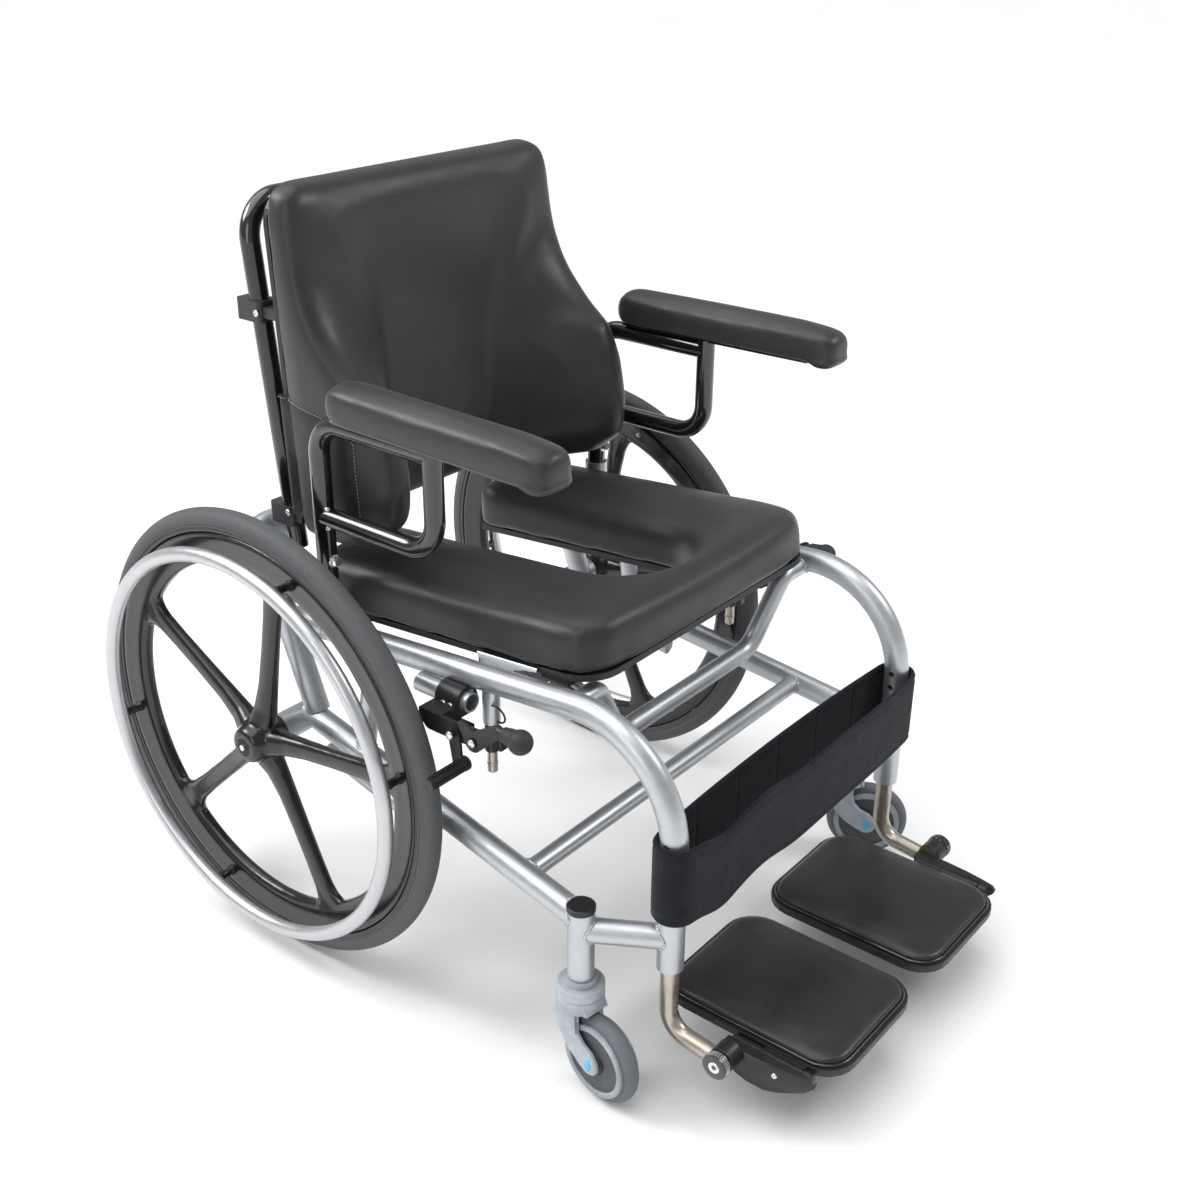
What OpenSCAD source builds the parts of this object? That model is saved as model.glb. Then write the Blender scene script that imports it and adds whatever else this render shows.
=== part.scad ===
// Self-propelled shower and commode wheelchair with spoked rear wheels and open-ended seat.
// X runs across the chair, Y runs from the footplates to the back, Z is up from the floor.
// Side pieces are drawn for the chair's left, the +X side, and mirrored for its right.

/* [Rear wheels] */
// Outer radius of the rear tyre
wheel_r = 305; // [290:1:320]
// Width of the rear tyre
tyre_w = 28; // [24:1:32]
// Distance from the lower side tube out to the middle of a rear tyre
wheel_side = 68; // [64:1:90]
// Depth of the tyre and its bead, from tread to rim
tyre_depth = 27; // [22:1:32]
// Radial depth of the moulded rim
rim_depth = 42; // [34:1:50]
// Number of moulded spokes
spoke_count = 5; // [3:1:7]
// Width of a spoke at its narrowest
spoke_w = 27; // [20:1:36]
// Thickness of a spoke
spoke_t = 16; // [10:1:20]
// Radius of the wheel's hub
hub_r = 33; // [28:1:40]
// Distance that the hub stands outboard of the tyre's middle
hub_out = 37; // [32:1:44]
// Distance that the hub reaches inboard of the tyre's middle
hub_in = 20; // [16:1:21]
// Distance from the tyre's tread in to the handrim's centre circle
handrim_in = 46; // [40:1:55]
// Diameter of the handrim's tube
handrim_d = 19; // [15:1:22]
// Distance from the tyre's middle out to the handrim's centre
handrim_out = 42; // [38:1:50]
// Number of standoffs that carry a handrim
standoff_count = 6; // [4:1:8]
// Diameter of the axle
axle_d = 12.7; // [10:0.1:16]

/* [Frame tubes] */
// Diameter of the main tubes
tube_d = 32; // [28:1:36]
// Diameter of the thinner frame tubes
thin_tube_d = 25; // [20:1:28]
// Distance that the side tubes and front legs stand outboard of the cushion's side
leg_side = 10; // [6:1:14]
// Distance that a front leg stands ahead of the axle
leg_front = 580; // [560:1:600]
// Rise of the upper side tube's centre above the axle, at the brake
rail_rise = 153; // [145:1:161]
// Slope of the upper side tubes and the seat, rising to the front
rail_slope = 4.86; // [3:0.1:6]
// Centre radius of the bend from the side tube into the front leg
leg_bend_r = 130; // [110:1:140]
// Height of the front leg's open lower end
leg_end_z = 181; // [170:1:190]
// Distance that the caster heads stand outboard of the front legs
head_side = 53; // [46:1:63]
// Distance that the caster heads stand ahead of the axle
head_front = 492; // [480:1:500]
// Height of the caster head tube's upper end
head_top_z = 250; // [246:1:262]
// Distance that the lower side tubes stand outboard of the upper ones, at the axle
rear_side = 18; // [14:1:24]

/* [Casters] */
// Radius of a caster wheel
caster_r = 58; // [54:1:60]
// Width of a caster's tyre
caster_w = 29; // [24:1:32]
// Distance that the caster's axle stands ahead of its swivel
caster_trail = 36; // [30:1:40]
// Radius of the fork's collar
collar_r = 29; // [26:1:32]
// Angle by which the right caster is turned outwards from straight ahead
caster_angle_right = 8; // [-30:1:30]
// Angle by which the left caster is turned outwards from straight ahead
caster_angle_left = 28; // [-30:1:30]

/* [Seat] */
// Half of the seat cushion's width
seat_half_w = 242; // [225:1:260]
// Distance from the axle forward to the cushion's front edge
seat_front = 462; // [450:1:475]
// Distance from the axle back to the cushion's rear edge
seat_rear = 15; // [0:1:20]
// Thickness of the seat cushion under its crown
seat_t = 62; // [50:1:66]
// Rise of the cushion's crown
seat_crown = 6; // [2:1:8]
// Half of the hygiene opening's width
slot_half_w = 75; // [60:1:90]
// Distance from the axle forward to the end of the hygiene opening
slot_front = 400; // [370:1:410]
// Thickness of the seat's base plate
seat_board_t = 8; // [5:1:8]

/* [Backrest] */
// Distance that the backrest's sides stand inboard of the seat cushion's
back_inset = 3; // [2:1:17]
// Rise of the backrest's lower edge above the axle
back_rise = 235; // [233:1:255]
// Height of the backrest's cushion
back_h = 444; // [400:1:470]
// Distance that a back post stands inboard of the seat cushion's side
post_inset = 26; // [24:1:37]
// Reach of the side wings ahead of the axle
wing_reach = 150; // [110:1:160]
// Thickness of the backing board
shell_t = 7; // [5:1:9]

/* [Armrests] */
// Distance that an armrest's tube stands outboard of the side tubes
arm_side = 12; // [10:1:16]
// Distance from the axle forward to the armrest's post
arm_post_front = 58; // [54:1:62]
// Rise of the armrest's lower rail above the axle
arm_rail_rise = 297; // [290:1:315]
// Rise of the arm pad's underside above the armrest's lower rail
arm_pad_rise = 138; // [118:1:158]
// Length of the arm pad
arm_pad_len = 345; // [310:1:370]
// Width of the arm pad
arm_pad_w = 62; // [50:1:66]
// Thickness of the arm pad
arm_pad_t = 48; // [36:1:56]

/* [Footrests] */
// Diameter of the footrest tube that slides in the leg
foot_tube_d = 22; // [20:1:24]
// Distance between two height holes in the leg
hole_pitch = 20; // [18:1:22]
// Distance from the centre plane to a footplate's inner edge
plate_in = 15; // [8:1:25]
// Distance that a footplate's outer edge stands inboard of the front leg
plate_side = 39; // [39:1:49]
// Distance that the footplate's front edge stands ahead of the axle
plate_front = 783; // [770:1:800]
// Depth of a footplate from front to back
plate_depth = 250; // [230:1:255]
// Height of the footplate's top
plate_z = 99; // [96:1:104]

/* [Calf strap] */
// Height of the strap's band
strap_h = 102; // [80:1:115]
// Thickness of the padded strap
strap_t = 7; // [4:1:9]
// Height of the strap's lower edge above the floor
strap_z = 252; // [240:1:258]

/* [Hidden] */
$fn = 64;

// Clearances and the overrun of every cut
over = 1;
run_gap = 0.05;
seat_gap = 0.3;
weld_gap = 0.05;
bend_swell = 0.04;
bend_lap = 0.5;

// Colours
silver = [0.72, 0.74, 0.75];
steel = [0.66, 0.62, 0.57];
gloss_black = [0.06, 0.06, 0.07];
plastic_black = [0.12, 0.12, 0.13];
leather = [0.2, 0.2, 0.22];
caster_grey = [0.7, 0.73, 0.76];
tyre_grey = [0.35, 0.36, 0.38];

// Derived places
tube_r = tube_d / 2;
thin_r = thin_tube_d / 2;
axle_r = axle_d / 2;
brake_y = -280;
centre_y = (plate_front - wheel_r) / 2;
leg_x = seat_half_w + leg_side;
leg_y = -leg_front;
rail_z = wheel_r + rail_rise;
rear_x = leg_x + rear_side;
wheel_x = rear_x + wheel_side;
handrim_r = wheel_r - handrim_in;
head_x = leg_x + head_side;
head_y = -head_front;
back_half_w = seat_half_w - back_inset;
back_low_z = wheel_r + back_rise;
back_top_z = back_low_z + back_h;
post_x = seat_half_w - post_inset;
arm_x = leg_x + arm_side;
arm_rail_z = wheel_r + arm_rail_rise;
arm_pad_z = arm_rail_z + arm_pad_rise;
plate_out = leg_x - plate_side;
function rail_at(y) = rail_z + (brake_y - y) * tan(rail_slope);
rail_top_rise = tube_r / cos(rail_slope);

// Chair frame: the drawing has y at zero over the axle, and the chair's own origin is under its middle
module placed() {
    translate([0, centre_y, 0]) children();
}

module side(sd) {
    if (sd < 0) mirror([1, 0, 0]) children();
    else children();
}

// Drawn along Z, laid along +X
module along_x() {
    rotate([0, 90, 0]) children();
}

// Drawn along Z, laid along -Y, to the front
module along_front() {
    rotate([90, 0, 0]) children();
}

function unit(v) = v / norm(v);
function turn_of(a, b, c) = acos(unit(b - a) * unit(c - b));
function setback(a, b, c, bend_r) = bend_r * tan(turn_of(a, b, c) / 2);

// The same place on the chair's other side
function other(p) = [-p[0], p[1], p[2]];

// A rod of round section between two points, with its ends moved out along its line
module rod(a, b, r, start_out = 0, end_out = 0) {
    d = unit(b - a);
    translate(a - d * start_out)
        rotate([0, acos(d[2]), atan2(d[1], d[0])])
            cylinder(h = norm(b - a) + start_out + end_out, r = r);
}

// The round bend of a tube at the middle one of three points
module elbow(a, b, c, bend_r, r) {
    u = unit(b - a);
    v = unit(c - b);
    n = unit(v - u * (u * v));
    p = b - u * setback(a, b, c, bend_r) + n * bend_r;
    w = cross(-n, u);
    multmatrix([
        [-n[0], u[0], w[0], p[0]],
        [-n[1], u[1], w[1], p[1]],
        [-n[2], u[2], w[2], p[2]],
        [0, 0, 0, 1]
    ])
        rotate_extrude(angle = turn_of(a, b, c)) translate([bend_r, 0]) circle(r = r + bend_swell);
}

// A bent tube through points, with one bend radius for each inner point
module tube_run(pts, bends, r) {
    last = len(pts) - 1;
    for (i = [0 : last - 1]) {
        d = unit(pts[i + 1] - pts[i]);
        cut_start = i == 0 ? 0 : setback(pts[i - 1], pts[i], pts[i + 1], bends[i - 1]);
        cut_end = i == last - 1 ? 0 : setback(pts[i], pts[i + 1], pts[i + 2], bends[i]);
        rod(pts[i] + d * cut_start, pts[i + 1] - d * cut_end, r,
            i == 0 ? 0 : bend_lap, i == last - 1 ? 0 : bend_lap);
    }
    for (i = [1 : last - 1]) elbow(pts[i - 1], pts[i], pts[i + 1], bends[i - 1], r);
}

// A closed skin over rings of points that all have the same number of points
module skin(rings) {
    m = len(rings[0]);
    n = len(rings);
    polyhedron(
        points = [for (ring = rings) each ring],
        faces = [
            [for (j = [0 : m - 1]) j],
            for (i = [0 : n - 2]) for (j = [0 : m - 1]) let (k = (j + 1) % m)
                each [[i * m + k, i * m + j, (i + 1) * m + j], [i * m + k, (i + 1) * m + j, (i + 1) * m + k]],
            [for (j = [m - 1 : -1 : 0]) (n - 1) * m + j]
        ]
    );
}

// Points of an arc
function arc(cx, cy, r, a, b, n) =
    [for (i = [0 : n]) let (t = a + (b - a) * i / n) [cx + r * cos(t), cy + r * sin(t)]];

// Corner points of a rectangle with round corners
function rounded(x0, x1, y0, y1, r, steps = 6) = [
    each arc(x1 - r, y1 - r, r, 0, 90, steps),
    each arc(x0 + r, y1 - r, r, 90, 180, steps),
    each arc(x0 + r, y0 + r, r, 180, 270, steps),
    each arc(x1 - r, y0 + r, r, 270, 360, steps)
];

// A bar that lies in the X plane between two round ends
link_steps = 14;

module link_plate(a, b, ra, rb) {
    d = norm(b - a);
    turn = atan2(b[1] - a[1], b[0] - a[0]);
    lean = asin((ra - rb) / d);
    translate(a) rotate(turn) {
        circle(r = ra);
        translate([d, 0]) circle(r = rb);
        polygon([
            [ra * sin(lean), ra * cos(lean)],
            [d + rb * sin(lean), rb * cos(lean)],
            [d + rb * sin(lean), -rb * cos(lean)],
            [ra * sin(lean), -ra * cos(lean)]
        ]);
    }
}

// The same outline with its ends drawn in short straight steps
module stepped_link(a, b, ra, rb) {
    d = norm(b - a);
    side_angle = 90 - asin((ra - rb) / d);
    translate(a) rotate(atan2(b[1] - a[1], b[0] - a[0])) polygon([
        each arc(0, 0, ra, side_angle, 360 - side_angle, link_steps),
        each arc(d, 0, rb, -side_angle, side_angle, link_steps)
    ]);
}

// A plate drawn as (y, z) and made thick along X from x to x + t
module plate_x(x, t) {
    translate([x, 0, 0]) rotate([90, 0, 90]) linear_extrude(t) children();
}

// Upper side tube, front leg and armrest socket

leg_wall_r = foot_tube_d / 2 + run_gap;
leg_bore_drop = 116.5;
leg_bore_top = rail_at(leg_y) - leg_bore_drop;
foot_tube_play = 42;
foot_tube_top = leg_bore_top - foot_tube_play;
hole_below = 13;
hole_z = foot_tube_top - hole_below;
rail_rear_y = 45;
hole_r = 4;
hole_count = 3;
socket_r = 16;
socket_bore_depth = 55;
socket_h = 79.9;
socket_top_z = rail_at(-arm_post_front) + socket_h;
arm_tube_r = 12.7;
stub_r = 12.5;
stub_out = 19;
stub_x = leg_x + stub_out;
stub_drop = 25;
stub_z = rail_z - stub_drop;
stub_len = 83;
stub_lap = 59.84;
stub_back_y = stub_lap - sqrt(pow(wheel_r, 2) - pow(stub_z - wheel_r, 2));
stub_wall = 2.5;

module side_tube() {
    rail = [
        [leg_x, rail_rear_y, rail_at(rail_rear_y)],
        [leg_x, leg_y, rail_at(leg_y)],
        [leg_x, leg_y, leg_end_z]
    ];
    color(silver) difference() {
        union() {
            tube_run(rail, [leg_bend_r], tube_r);
            translate([arm_x, -arm_post_front, rail_at(-arm_post_front)])
                cylinder(h = socket_top_z - rail_at(-arm_post_front), r = socket_r);
            translate([stub_x, stub_back_y, stub_z]) along_front() cylinder(h = stub_len, r = stub_r);
        }
        translate([leg_x, leg_y, leg_end_z - over])
            cylinder(h = leg_bore_top - leg_end_z + over, r = leg_wall_r);
        for (i = [0 : hole_count - 1])
            translate([leg_x - tube_r - over, leg_y, hole_z + i * hole_pitch])
                along_x() cylinder(h = tube_d + over * 2, r = hole_r);
        translate([arm_x, -arm_post_front, socket_top_z - socket_bore_depth])
            cylinder(h = socket_bore_depth + over, r = arm_tube_r + run_gap);
        translate([stub_x, stub_back_y + over, stub_z])
            along_front() cylinder(h = stub_len + over * 2, r = stub_r - stub_wall);
    }
}

// Lower side tube with the axle sleeve, the middle upright and the anti-tip receiver

low_front_z = 238;
low_rear_rise = 11;
low_rear_z = wheel_r + low_rear_rise;
sleeve_r = 19;
sleeve_in = 22;
mid_y = -120;
receiver_r = 11;
receiver_back_y = -41;
receiver_drop = 38;
receiver_back_z = wheel_r - receiver_drop;
receiver_len = 150;
receiver_wall = 2;
receiver_post_share = 0.75;
receiver_neck_share = 0.8;
receiver_hollow = 60;
low_front = [head_x, head_y, low_front_z];
low_rear = [rear_x, 0, low_rear_z];
function low_at(y) = low_front + (low_rear - low_front) * ((y - head_y) / head_front);
low_dir = unit(low_front - low_rear);
hub_gap = 0.8;
cap_t = 7;
cap_lip = 1;

module lower_tube() {
    receiver_start = [rear_x, receiver_back_y, receiver_back_z];
    receiver_end = receiver_start + low_dir * receiver_len;
    color(silver) difference() {
        union() {
            rod(low_at(-tube_r / 2), low_front, tube_r);
            translate([rear_x - sleeve_in, 0, wheel_r])
                along_x() cylinder(h = wheel_x - hub_in - hub_gap - rear_x + sleeve_in, r = sleeve_r);
            rod(low_at(mid_y), [leg_x, mid_y, rail_at(mid_y)], thin_r);
            rod(receiver_start, receiver_end, receiver_r);
            translate(receiver_start + low_dir * receiver_len * receiver_post_share)
                cylinder(h = tube_d, r = receiver_r * receiver_neck_share);
        }
        rod(receiver_start - low_dir * over, receiver_start + low_dir * receiver_hollow, receiver_r - receiver_wall);
        translate([rear_x - sleeve_in - over, 0, wheel_r])
            along_x() cylinder(h = wheel_x, r = axle_r + run_gap);
        translate([head_x, head_y, 0]) cylinder(h = head_top_z + tube_d, r = tube_r + weld_gap);
        translate([head_x, head_y, head_top_z]) cylinder(h = tube_d, r = tube_r + cap_lip + weld_gap);
        rod([leg_x, rail_rear_y, rail_at(rail_rear_y)], [leg_x, leg_y, rail_at(leg_y)], tube_r + weld_gap);
    }
}

// Caster head with the short tube to the front leg

head_bottom_z = 158;
stem_r = 6;
short_z = 222;
short_share = 0.94;

module caster_head() {
    color(silver) difference() {
        union() {
            translate([head_x, head_y, head_bottom_z]) cylinder(h = head_top_z - head_bottom_z, r = tube_r);
            rod([head_x, head_y, short_z], [leg_x, leg_y, short_z], tube_r * short_share);
        }
        translate([head_x, head_y, head_bottom_z - over])
            cylinder(h = head_top_z - head_bottom_z + over * 2, r = stem_r + run_gap);
        translate([leg_x, leg_y, 0]) cylinder(h = rail_z, r = tube_r + weld_gap);
    }
}

module head_cap() {
    color(plastic_black) translate([head_x, head_y, head_top_z]) {
        cylinder(h = cap_t - cap_lip, r = tube_r + cap_lip);
        translate([0, 0, cap_t - cap_lip]) cylinder(h = cap_lip, r1 = tube_r + cap_lip, r2 = tube_r - cap_lip);
    }
}

// Cross tubes

arch_low_y = -24.5;
arch_low_rise = 17;
arch_knee_y = 28;
arch_knee_rise = 155;
arch_top_y = 102;
arch_top_rise = 230;
arch_low = [rear_x, arch_low_y, wheel_r + arch_low_rise];
arch_knee = [rear_x, arch_knee_y, wheel_r + arch_knee_rise];
arch_top = [rear_x, arch_top_y, wheel_r + arch_top_rise];
arch_knee_r = 80;
arch_top_r = 48;
lug_x_half = 10;
lug_z_half = 12;

module rear_arch() {
    color(silver) difference() {
        union() {
            tube_run(
                [arch_low, arch_knee, arch_top, other(arch_top), other(arch_knee), other(arch_low)],
                [arch_knee_r, arch_top_r, arch_top_r, arch_knee_r], tube_r
            );
            for (sd = [-1, 1]) side(sd)
                translate([post_x - lug_x_half, post_low[1], arch_top[2] - lug_z_half])
                    cube([lug_x_half * 2, arch_top[1] - post_low[1], lug_z_half * 2]);
        }
        for (sd = [-1, 1]) side(sd) {
            rod([leg_x, rail_rear_y + tube_d, rail_at(rail_rear_y + tube_d)], [leg_x, leg_y, rail_at(leg_y)],
                tube_r + weld_gap);
            rod(low_rear + (low_rear - low_front), low_front, tube_r + weld_gap);
            translate([0, 0, wheel_r]) along_x() cylinder(h = wheel_x, r = sleeve_r + weld_gap);
            rod(post_low, post_high, post_r + weld_gap);
        }
    }
}

// The drop tube under the seat's front, which leaves room for the pan

drop_y = -416;
drop_depth = 89;
drop_half_in = 111;
drop_shoulder_in = 54;
drop_shoulder_y = -427;
drop_sink = 6.5;
drop_half = leg_x - drop_half_in;
drop_shoulder_x = leg_x - drop_shoulder_in;
drop_shoulder_z = rail_at(drop_shoulder_y) - drop_sink;
drop_z = drop_shoulder_z - drop_depth;
drop_bend_r = 40;

module drop_cross_tube() {
    end = [leg_x, drop_shoulder_y, drop_shoulder_z];
    shoulder = [drop_shoulder_x, drop_shoulder_y, drop_shoulder_z];
    floor_end = [drop_half, drop_y, drop_z];
    color(silver) difference() {
        tube_run(
            [end, shoulder, floor_end, other(floor_end), other(shoulder), other(end)],
            [drop_bend_r / 2, drop_bend_r, drop_bend_r, drop_bend_r / 2], thin_r
        );
        for (sd = [-1, 1]) side(sd)
            rod([leg_x, 0, rail_at(0)], [leg_x, leg_y, rail_at(leg_y)], tube_r + weld_gap);
    }
}

low_cross_y = -402;

module low_cross_tube() {
    end = low_at(low_cross_y);
    color(silver) difference() {
        rod(end, [-end[0], end[1], end[2]], thin_r);
        for (sd = [-1, 1]) side(sd) rod(low_rear, low_front, tube_r + weld_gap);
    }
}

// Axles

axle_nut_r = 11;
axle_nut_t = 5;
hub_recess = 6;
button_r = 4;
button_travel = 3;
button_len = 10;

module axle() {
    face_x = wheel_x + hub_out - hub_recess + seat_gap;
    color(steel) difference() {
        union() {
            translate([rear_x - sleeve_in, 0, wheel_r])
                along_x() cylinder(h = face_x + axle_nut_t - rear_x + sleeve_in, r = axle_r);
            translate([face_x, 0, wheel_r]) along_x() cylinder(h = axle_nut_t, r = axle_nut_r);
        }
        translate([face_x + axle_nut_t - button_len, 0, wheel_r])
            along_x() cylinder(h = button_len + over, r = button_r + run_gap);
    }
}

module axle_button() {
    end_x = wheel_x + hub_out - hub_recess + seat_gap + axle_nut_t;
    color(silver) translate([end_x - button_len + button_travel + seat_gap, 0, wheel_r])
        along_x() cylinder(h = button_len, r = button_r);
}

// Rear wheel, drawn about Z with +Z outboard

rim_out_r = wheel_r - tyre_depth;
rim_in_r = rim_out_r - rim_depth;

module on_axle() {
    translate([wheel_x, 0, wheel_r]) along_x() children();
}

bead_width_share = 0.86;

module tyre() {
    tyre_r = tyre_w / 2;
    color(tyre_grey) on_axle() rotate_extrude() difference() {
        union() {
            translate([wheel_r - tyre_r, 0]) circle(r = tyre_r);
            translate([rim_out_r, -tyre_r * bead_width_share]) square([tyre_r, tyre_w * bead_width_share]);
        }
        translate([rim_out_r - tyre_w, -tyre_w]) square([tyre_w, tyre_w * 2]);
    }
}

// One window between two spokes, between the hub and the rim
neck_share = 0.5;
root_share = 1.28;
tip_share = 2.4;
mid_share = 0.5;
shoulder_share = 0.36;
shoulder_w_share = 1.45;
window_steps = 12;
window_lip = 1.5;

module window() {
    half = 180 / spoke_count;
    function edge_angle(r, w) = half - asin(w / 2 / r);
    flare_r = rim_in_r - spoke_w;
    neck_r = hub_r + spoke_w * neck_share;
    root_w = spoke_w * root_share;
    tip_w = spoke_w * tip_share;
    mid_r = (flare_r + neck_r) * mid_share;
    root = edge_angle(neck_r, root_w);
    mid = edge_angle(mid_r, spoke_w);
    waist = edge_angle(flare_r, spoke_w);
    tip = edge_angle(rim_in_r, tip_w);
    function at(r, a) = [r * cos(a), r * sin(a)];
    shoulder_r = rim_in_r - spoke_w * shoulder_share;
    shoulder = edge_angle(shoulder_r, spoke_w * shoulder_w_share);
    polygon([
        each arc(0, 0, rim_in_r - window_lip, -tip, tip, window_steps),
        at(shoulder_r, shoulder), at(flare_r, waist), at(mid_r, mid), at(neck_r, root),
        at(neck_r, -root), at(mid_r, -mid), at(flare_r, -waist), at(shoulder_r, -shoulder)
    ]);
}

standoff_r = 5;
rim_w_share = 0.86;
hub_back_share = 0.8;
lip_share = 0.62;
first_spoke = 47;
first_standoff = 20;

module wheel() {
    rim_half = tyre_w * rim_w_share / 2;
    web_half = spoke_t / 2;
    hub_mid = hub_out - hub_recess - web_half * 2;
    profile = [
        [axle_r + run_gap, -hub_in],
        [hub_r * hub_back_share, -hub_in],
        [hub_r, 0],
        [rim_in_r - spoke_t, -web_half],
        [rim_in_r, -rim_half * lip_share],
        [rim_in_r + rim_depth * lip_share, -rim_half],
        [rim_out_r, -rim_half],
        [rim_out_r, rim_half],
        [rim_in_r + rim_depth * lip_share, rim_half],
        [rim_in_r, rim_half * lip_share],
        [rim_in_r - spoke_t, web_half],
        [hub_r + spoke_t, hub_mid + web_half],
        [hub_r, hub_out - spoke_t / 2],
        [hub_r * hub_back_share, hub_out],
        [axle_r + run_gap, hub_out]
    ];
    color(plastic_black) on_axle() difference() {
        union() {
            difference() {
                rotate_extrude() polygon(profile);
                for (i = [0 : spoke_count - 1])
                    rotate(first_spoke + (i + 1 / 2) * 360 / spoke_count)
                        translate([0, 0, -wheel_x]) linear_extrude(wheel_x * 2) window();
            }
            for (i = [0 : standoff_count - 1])
                rotate(first_standoff + i * 360 / standoff_count)
                    translate([handrim_r, 0, 0]) cylinder(h = handrim_out, r = standoff_r);
        }
        rotate_extrude() translate([handrim_r, handrim_out]) circle(r = handrim_d / 2 + weld_gap);
        translate([0, 0, hub_out - hub_recess]) cylinder(h = hub_recess + over, r = axle_nut_r + seat_gap * 2);
    }
}

module handrim() {
    color(silver) on_axle() rotate_extrude() translate([handrim_r, handrim_out]) circle(r = handrim_d / 2);
}

// Casters

function caster_angle(sd) = sd < 0 ? caster_angle_right : caster_angle_left;
fork_gap = 1.5;
fork_t = 7;
fork_boss_r = 15;
caster_axle_r = 4;
arch_gap = 3;
collar_top_z = head_bottom_z - seat_gap;
collar_ring_t = 4;
fork_floor_z = 60;
fork_wide_z = 112;
caster_ring_r = 47;
dish_share = 0.82;
tread_share = 0.72;

// Drawn on the left side, turned about the swivel and set on the head
module at_caster(sd) {
    side(sd) translate([head_x, head_y, 0]) rotate(caster_angle(sd)) children();
}

module caster_fork(sd) {
    leg_in = caster_w / 2 + fork_gap;
    well_r = caster_r + arch_gap;
    crown_top = collar_top_z - collar_ring_t * 2;
    color(caster_grey) at_caster(sd) {
        difference() {
            union() {
                cylinder(h = crown_top, r = collar_r);
                translate([0, 0, crown_top]) cylinder(h = collar_ring_t, r = collar_r - collar_ring_t / 2);
                translate([0, 0, crown_top]) cylinder(h = collar_ring_t * 2, r = tube_r);
                translate([0, 0, crown_top]) cylinder(h = head_top_z - crown_top - over, r = stem_r);
                plate_x(-leg_in - fork_t, leg_in * 2 + fork_t * 2)
                    link_plate([-caster_trail, caster_r], [-collar_r / 2, crown_top - collar_r], fork_boss_r, collar_r);
            }
            translate([-leg_in, -caster_trail, caster_r])
                along_x() cylinder(h = leg_in * 2, r = well_r);
            translate([-leg_in, -caster_trail, 0]) cube([leg_in * 2, well_r * 2, well_r]);
            translate([-collar_r * 2, fork_boss_r * 2 - caster_trail, -over])
                cube([collar_r * 4, collar_r * 4, fork_floor_z]);
            translate([-collar_r * 2, -collar_r * 2, -over]) cube([collar_r * 4, collar_r * 4, caster_r - fork_boss_r]);
            for (s = [-1, 1]) translate([s < 0 ? -collar_r * 2 : leg_in + fork_t, -collar_r * 4, 0])
                cube([collar_r * 2 - leg_in - fork_t, collar_r * 8, fork_wide_z]);
        }
        translate([-leg_in - fork_t / 2, -caster_trail, caster_r])
            along_x() cylinder(h = leg_in * 2 + fork_t, r = caster_axle_r);
    }
}

module caster_wheel(sd) {
    half = caster_w / 2;
    color(plastic_black) at_caster(sd) translate([0, -caster_trail, caster_r]) along_x() rotate_extrude() polygon([
        [caster_axle_r + run_gap, -half - fork_gap / 2],
        [fork_boss_r, -half - fork_gap / 2],
        [fork_boss_r, -half * dish_share],
        [caster_ring_r - fork_boss_r / 2, -half * dish_share],
        [caster_ring_r - fork_boss_r / 3, -half],
        [caster_ring_r, -half],
        [caster_ring_r, half],
        [caster_ring_r - fork_boss_r / 3, half],
        [caster_ring_r - fork_boss_r / 2, half * dish_share],
        [fork_boss_r, half * dish_share],
        [fork_boss_r, half + fork_gap / 2],
        [caster_axle_r + run_gap, half + fork_gap / 2]
    ]);
}

module caster_tyre(sd) {
    half = caster_w / 2;
    color(tyre_grey) at_caster(sd) translate([0, -caster_trail, caster_r]) along_x() rotate_extrude() polygon([
        [caster_ring_r, -half * dish_share],
        each arc(caster_r - half * tread_share, 0, half * tread_share, -90, 90, window_steps),
        [caster_ring_r, half * dish_share]
    ]);
}

// Brake: a clamp on the stub tube, a lever, and an arm with the ribbed shoe

brake_side = 41;
brake_x = stub_x + brake_side;
brake_plate_t = 4;
brake_layer = 4.4;
stub_mouth = [stub_back_y - stub_len, stub_z];
pivot_arm_off = [-16, -12];
pivot_lever_off = [-50, -10];
shoe_off = [-31, -47];
arm_foot_off = [-21, -57];
neck_off = [-88, 19];
grip_off = [-120, 17];
lever_heel_off = [-34, 7];
lever_tip_off = [-108, 18];
pivot_arm = stub_mouth + pivot_arm_off;
pivot_lever = stub_mouth + pivot_lever_off;
shoe_at = stub_mouth + shoe_off;
arm_foot = stub_mouth + arm_foot_off;
neck_at = stub_mouth + neck_off;
grip_at = stub_mouth + grip_off;
lever_heel = stub_mouth + lever_heel_off;
lever_tip = stub_mouth + lever_tip_off;
pivot_r = 4;
rivet_r = 6;
plate_end_r = 12;
arm_top_end_r = 9;
arm_foot_end_r = 6.6;
shoe_end_r = 9.1;
lever_neck_r = 7.5;
lever_heel_r = 11.4;
grip_neck_r = 8.4;
grip_cone_share = 0.9;
shoe_r = 7;
shoe_len = 62;
shoe_ribs = 8;
rib_out = 1.3;
grip_r = 14.5;
clamp_wall = 6;
clamp_len = 34;
clamp_inset = 8;
clamp_y0 = stub_mouth[0] + clamp_inset;

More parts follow.
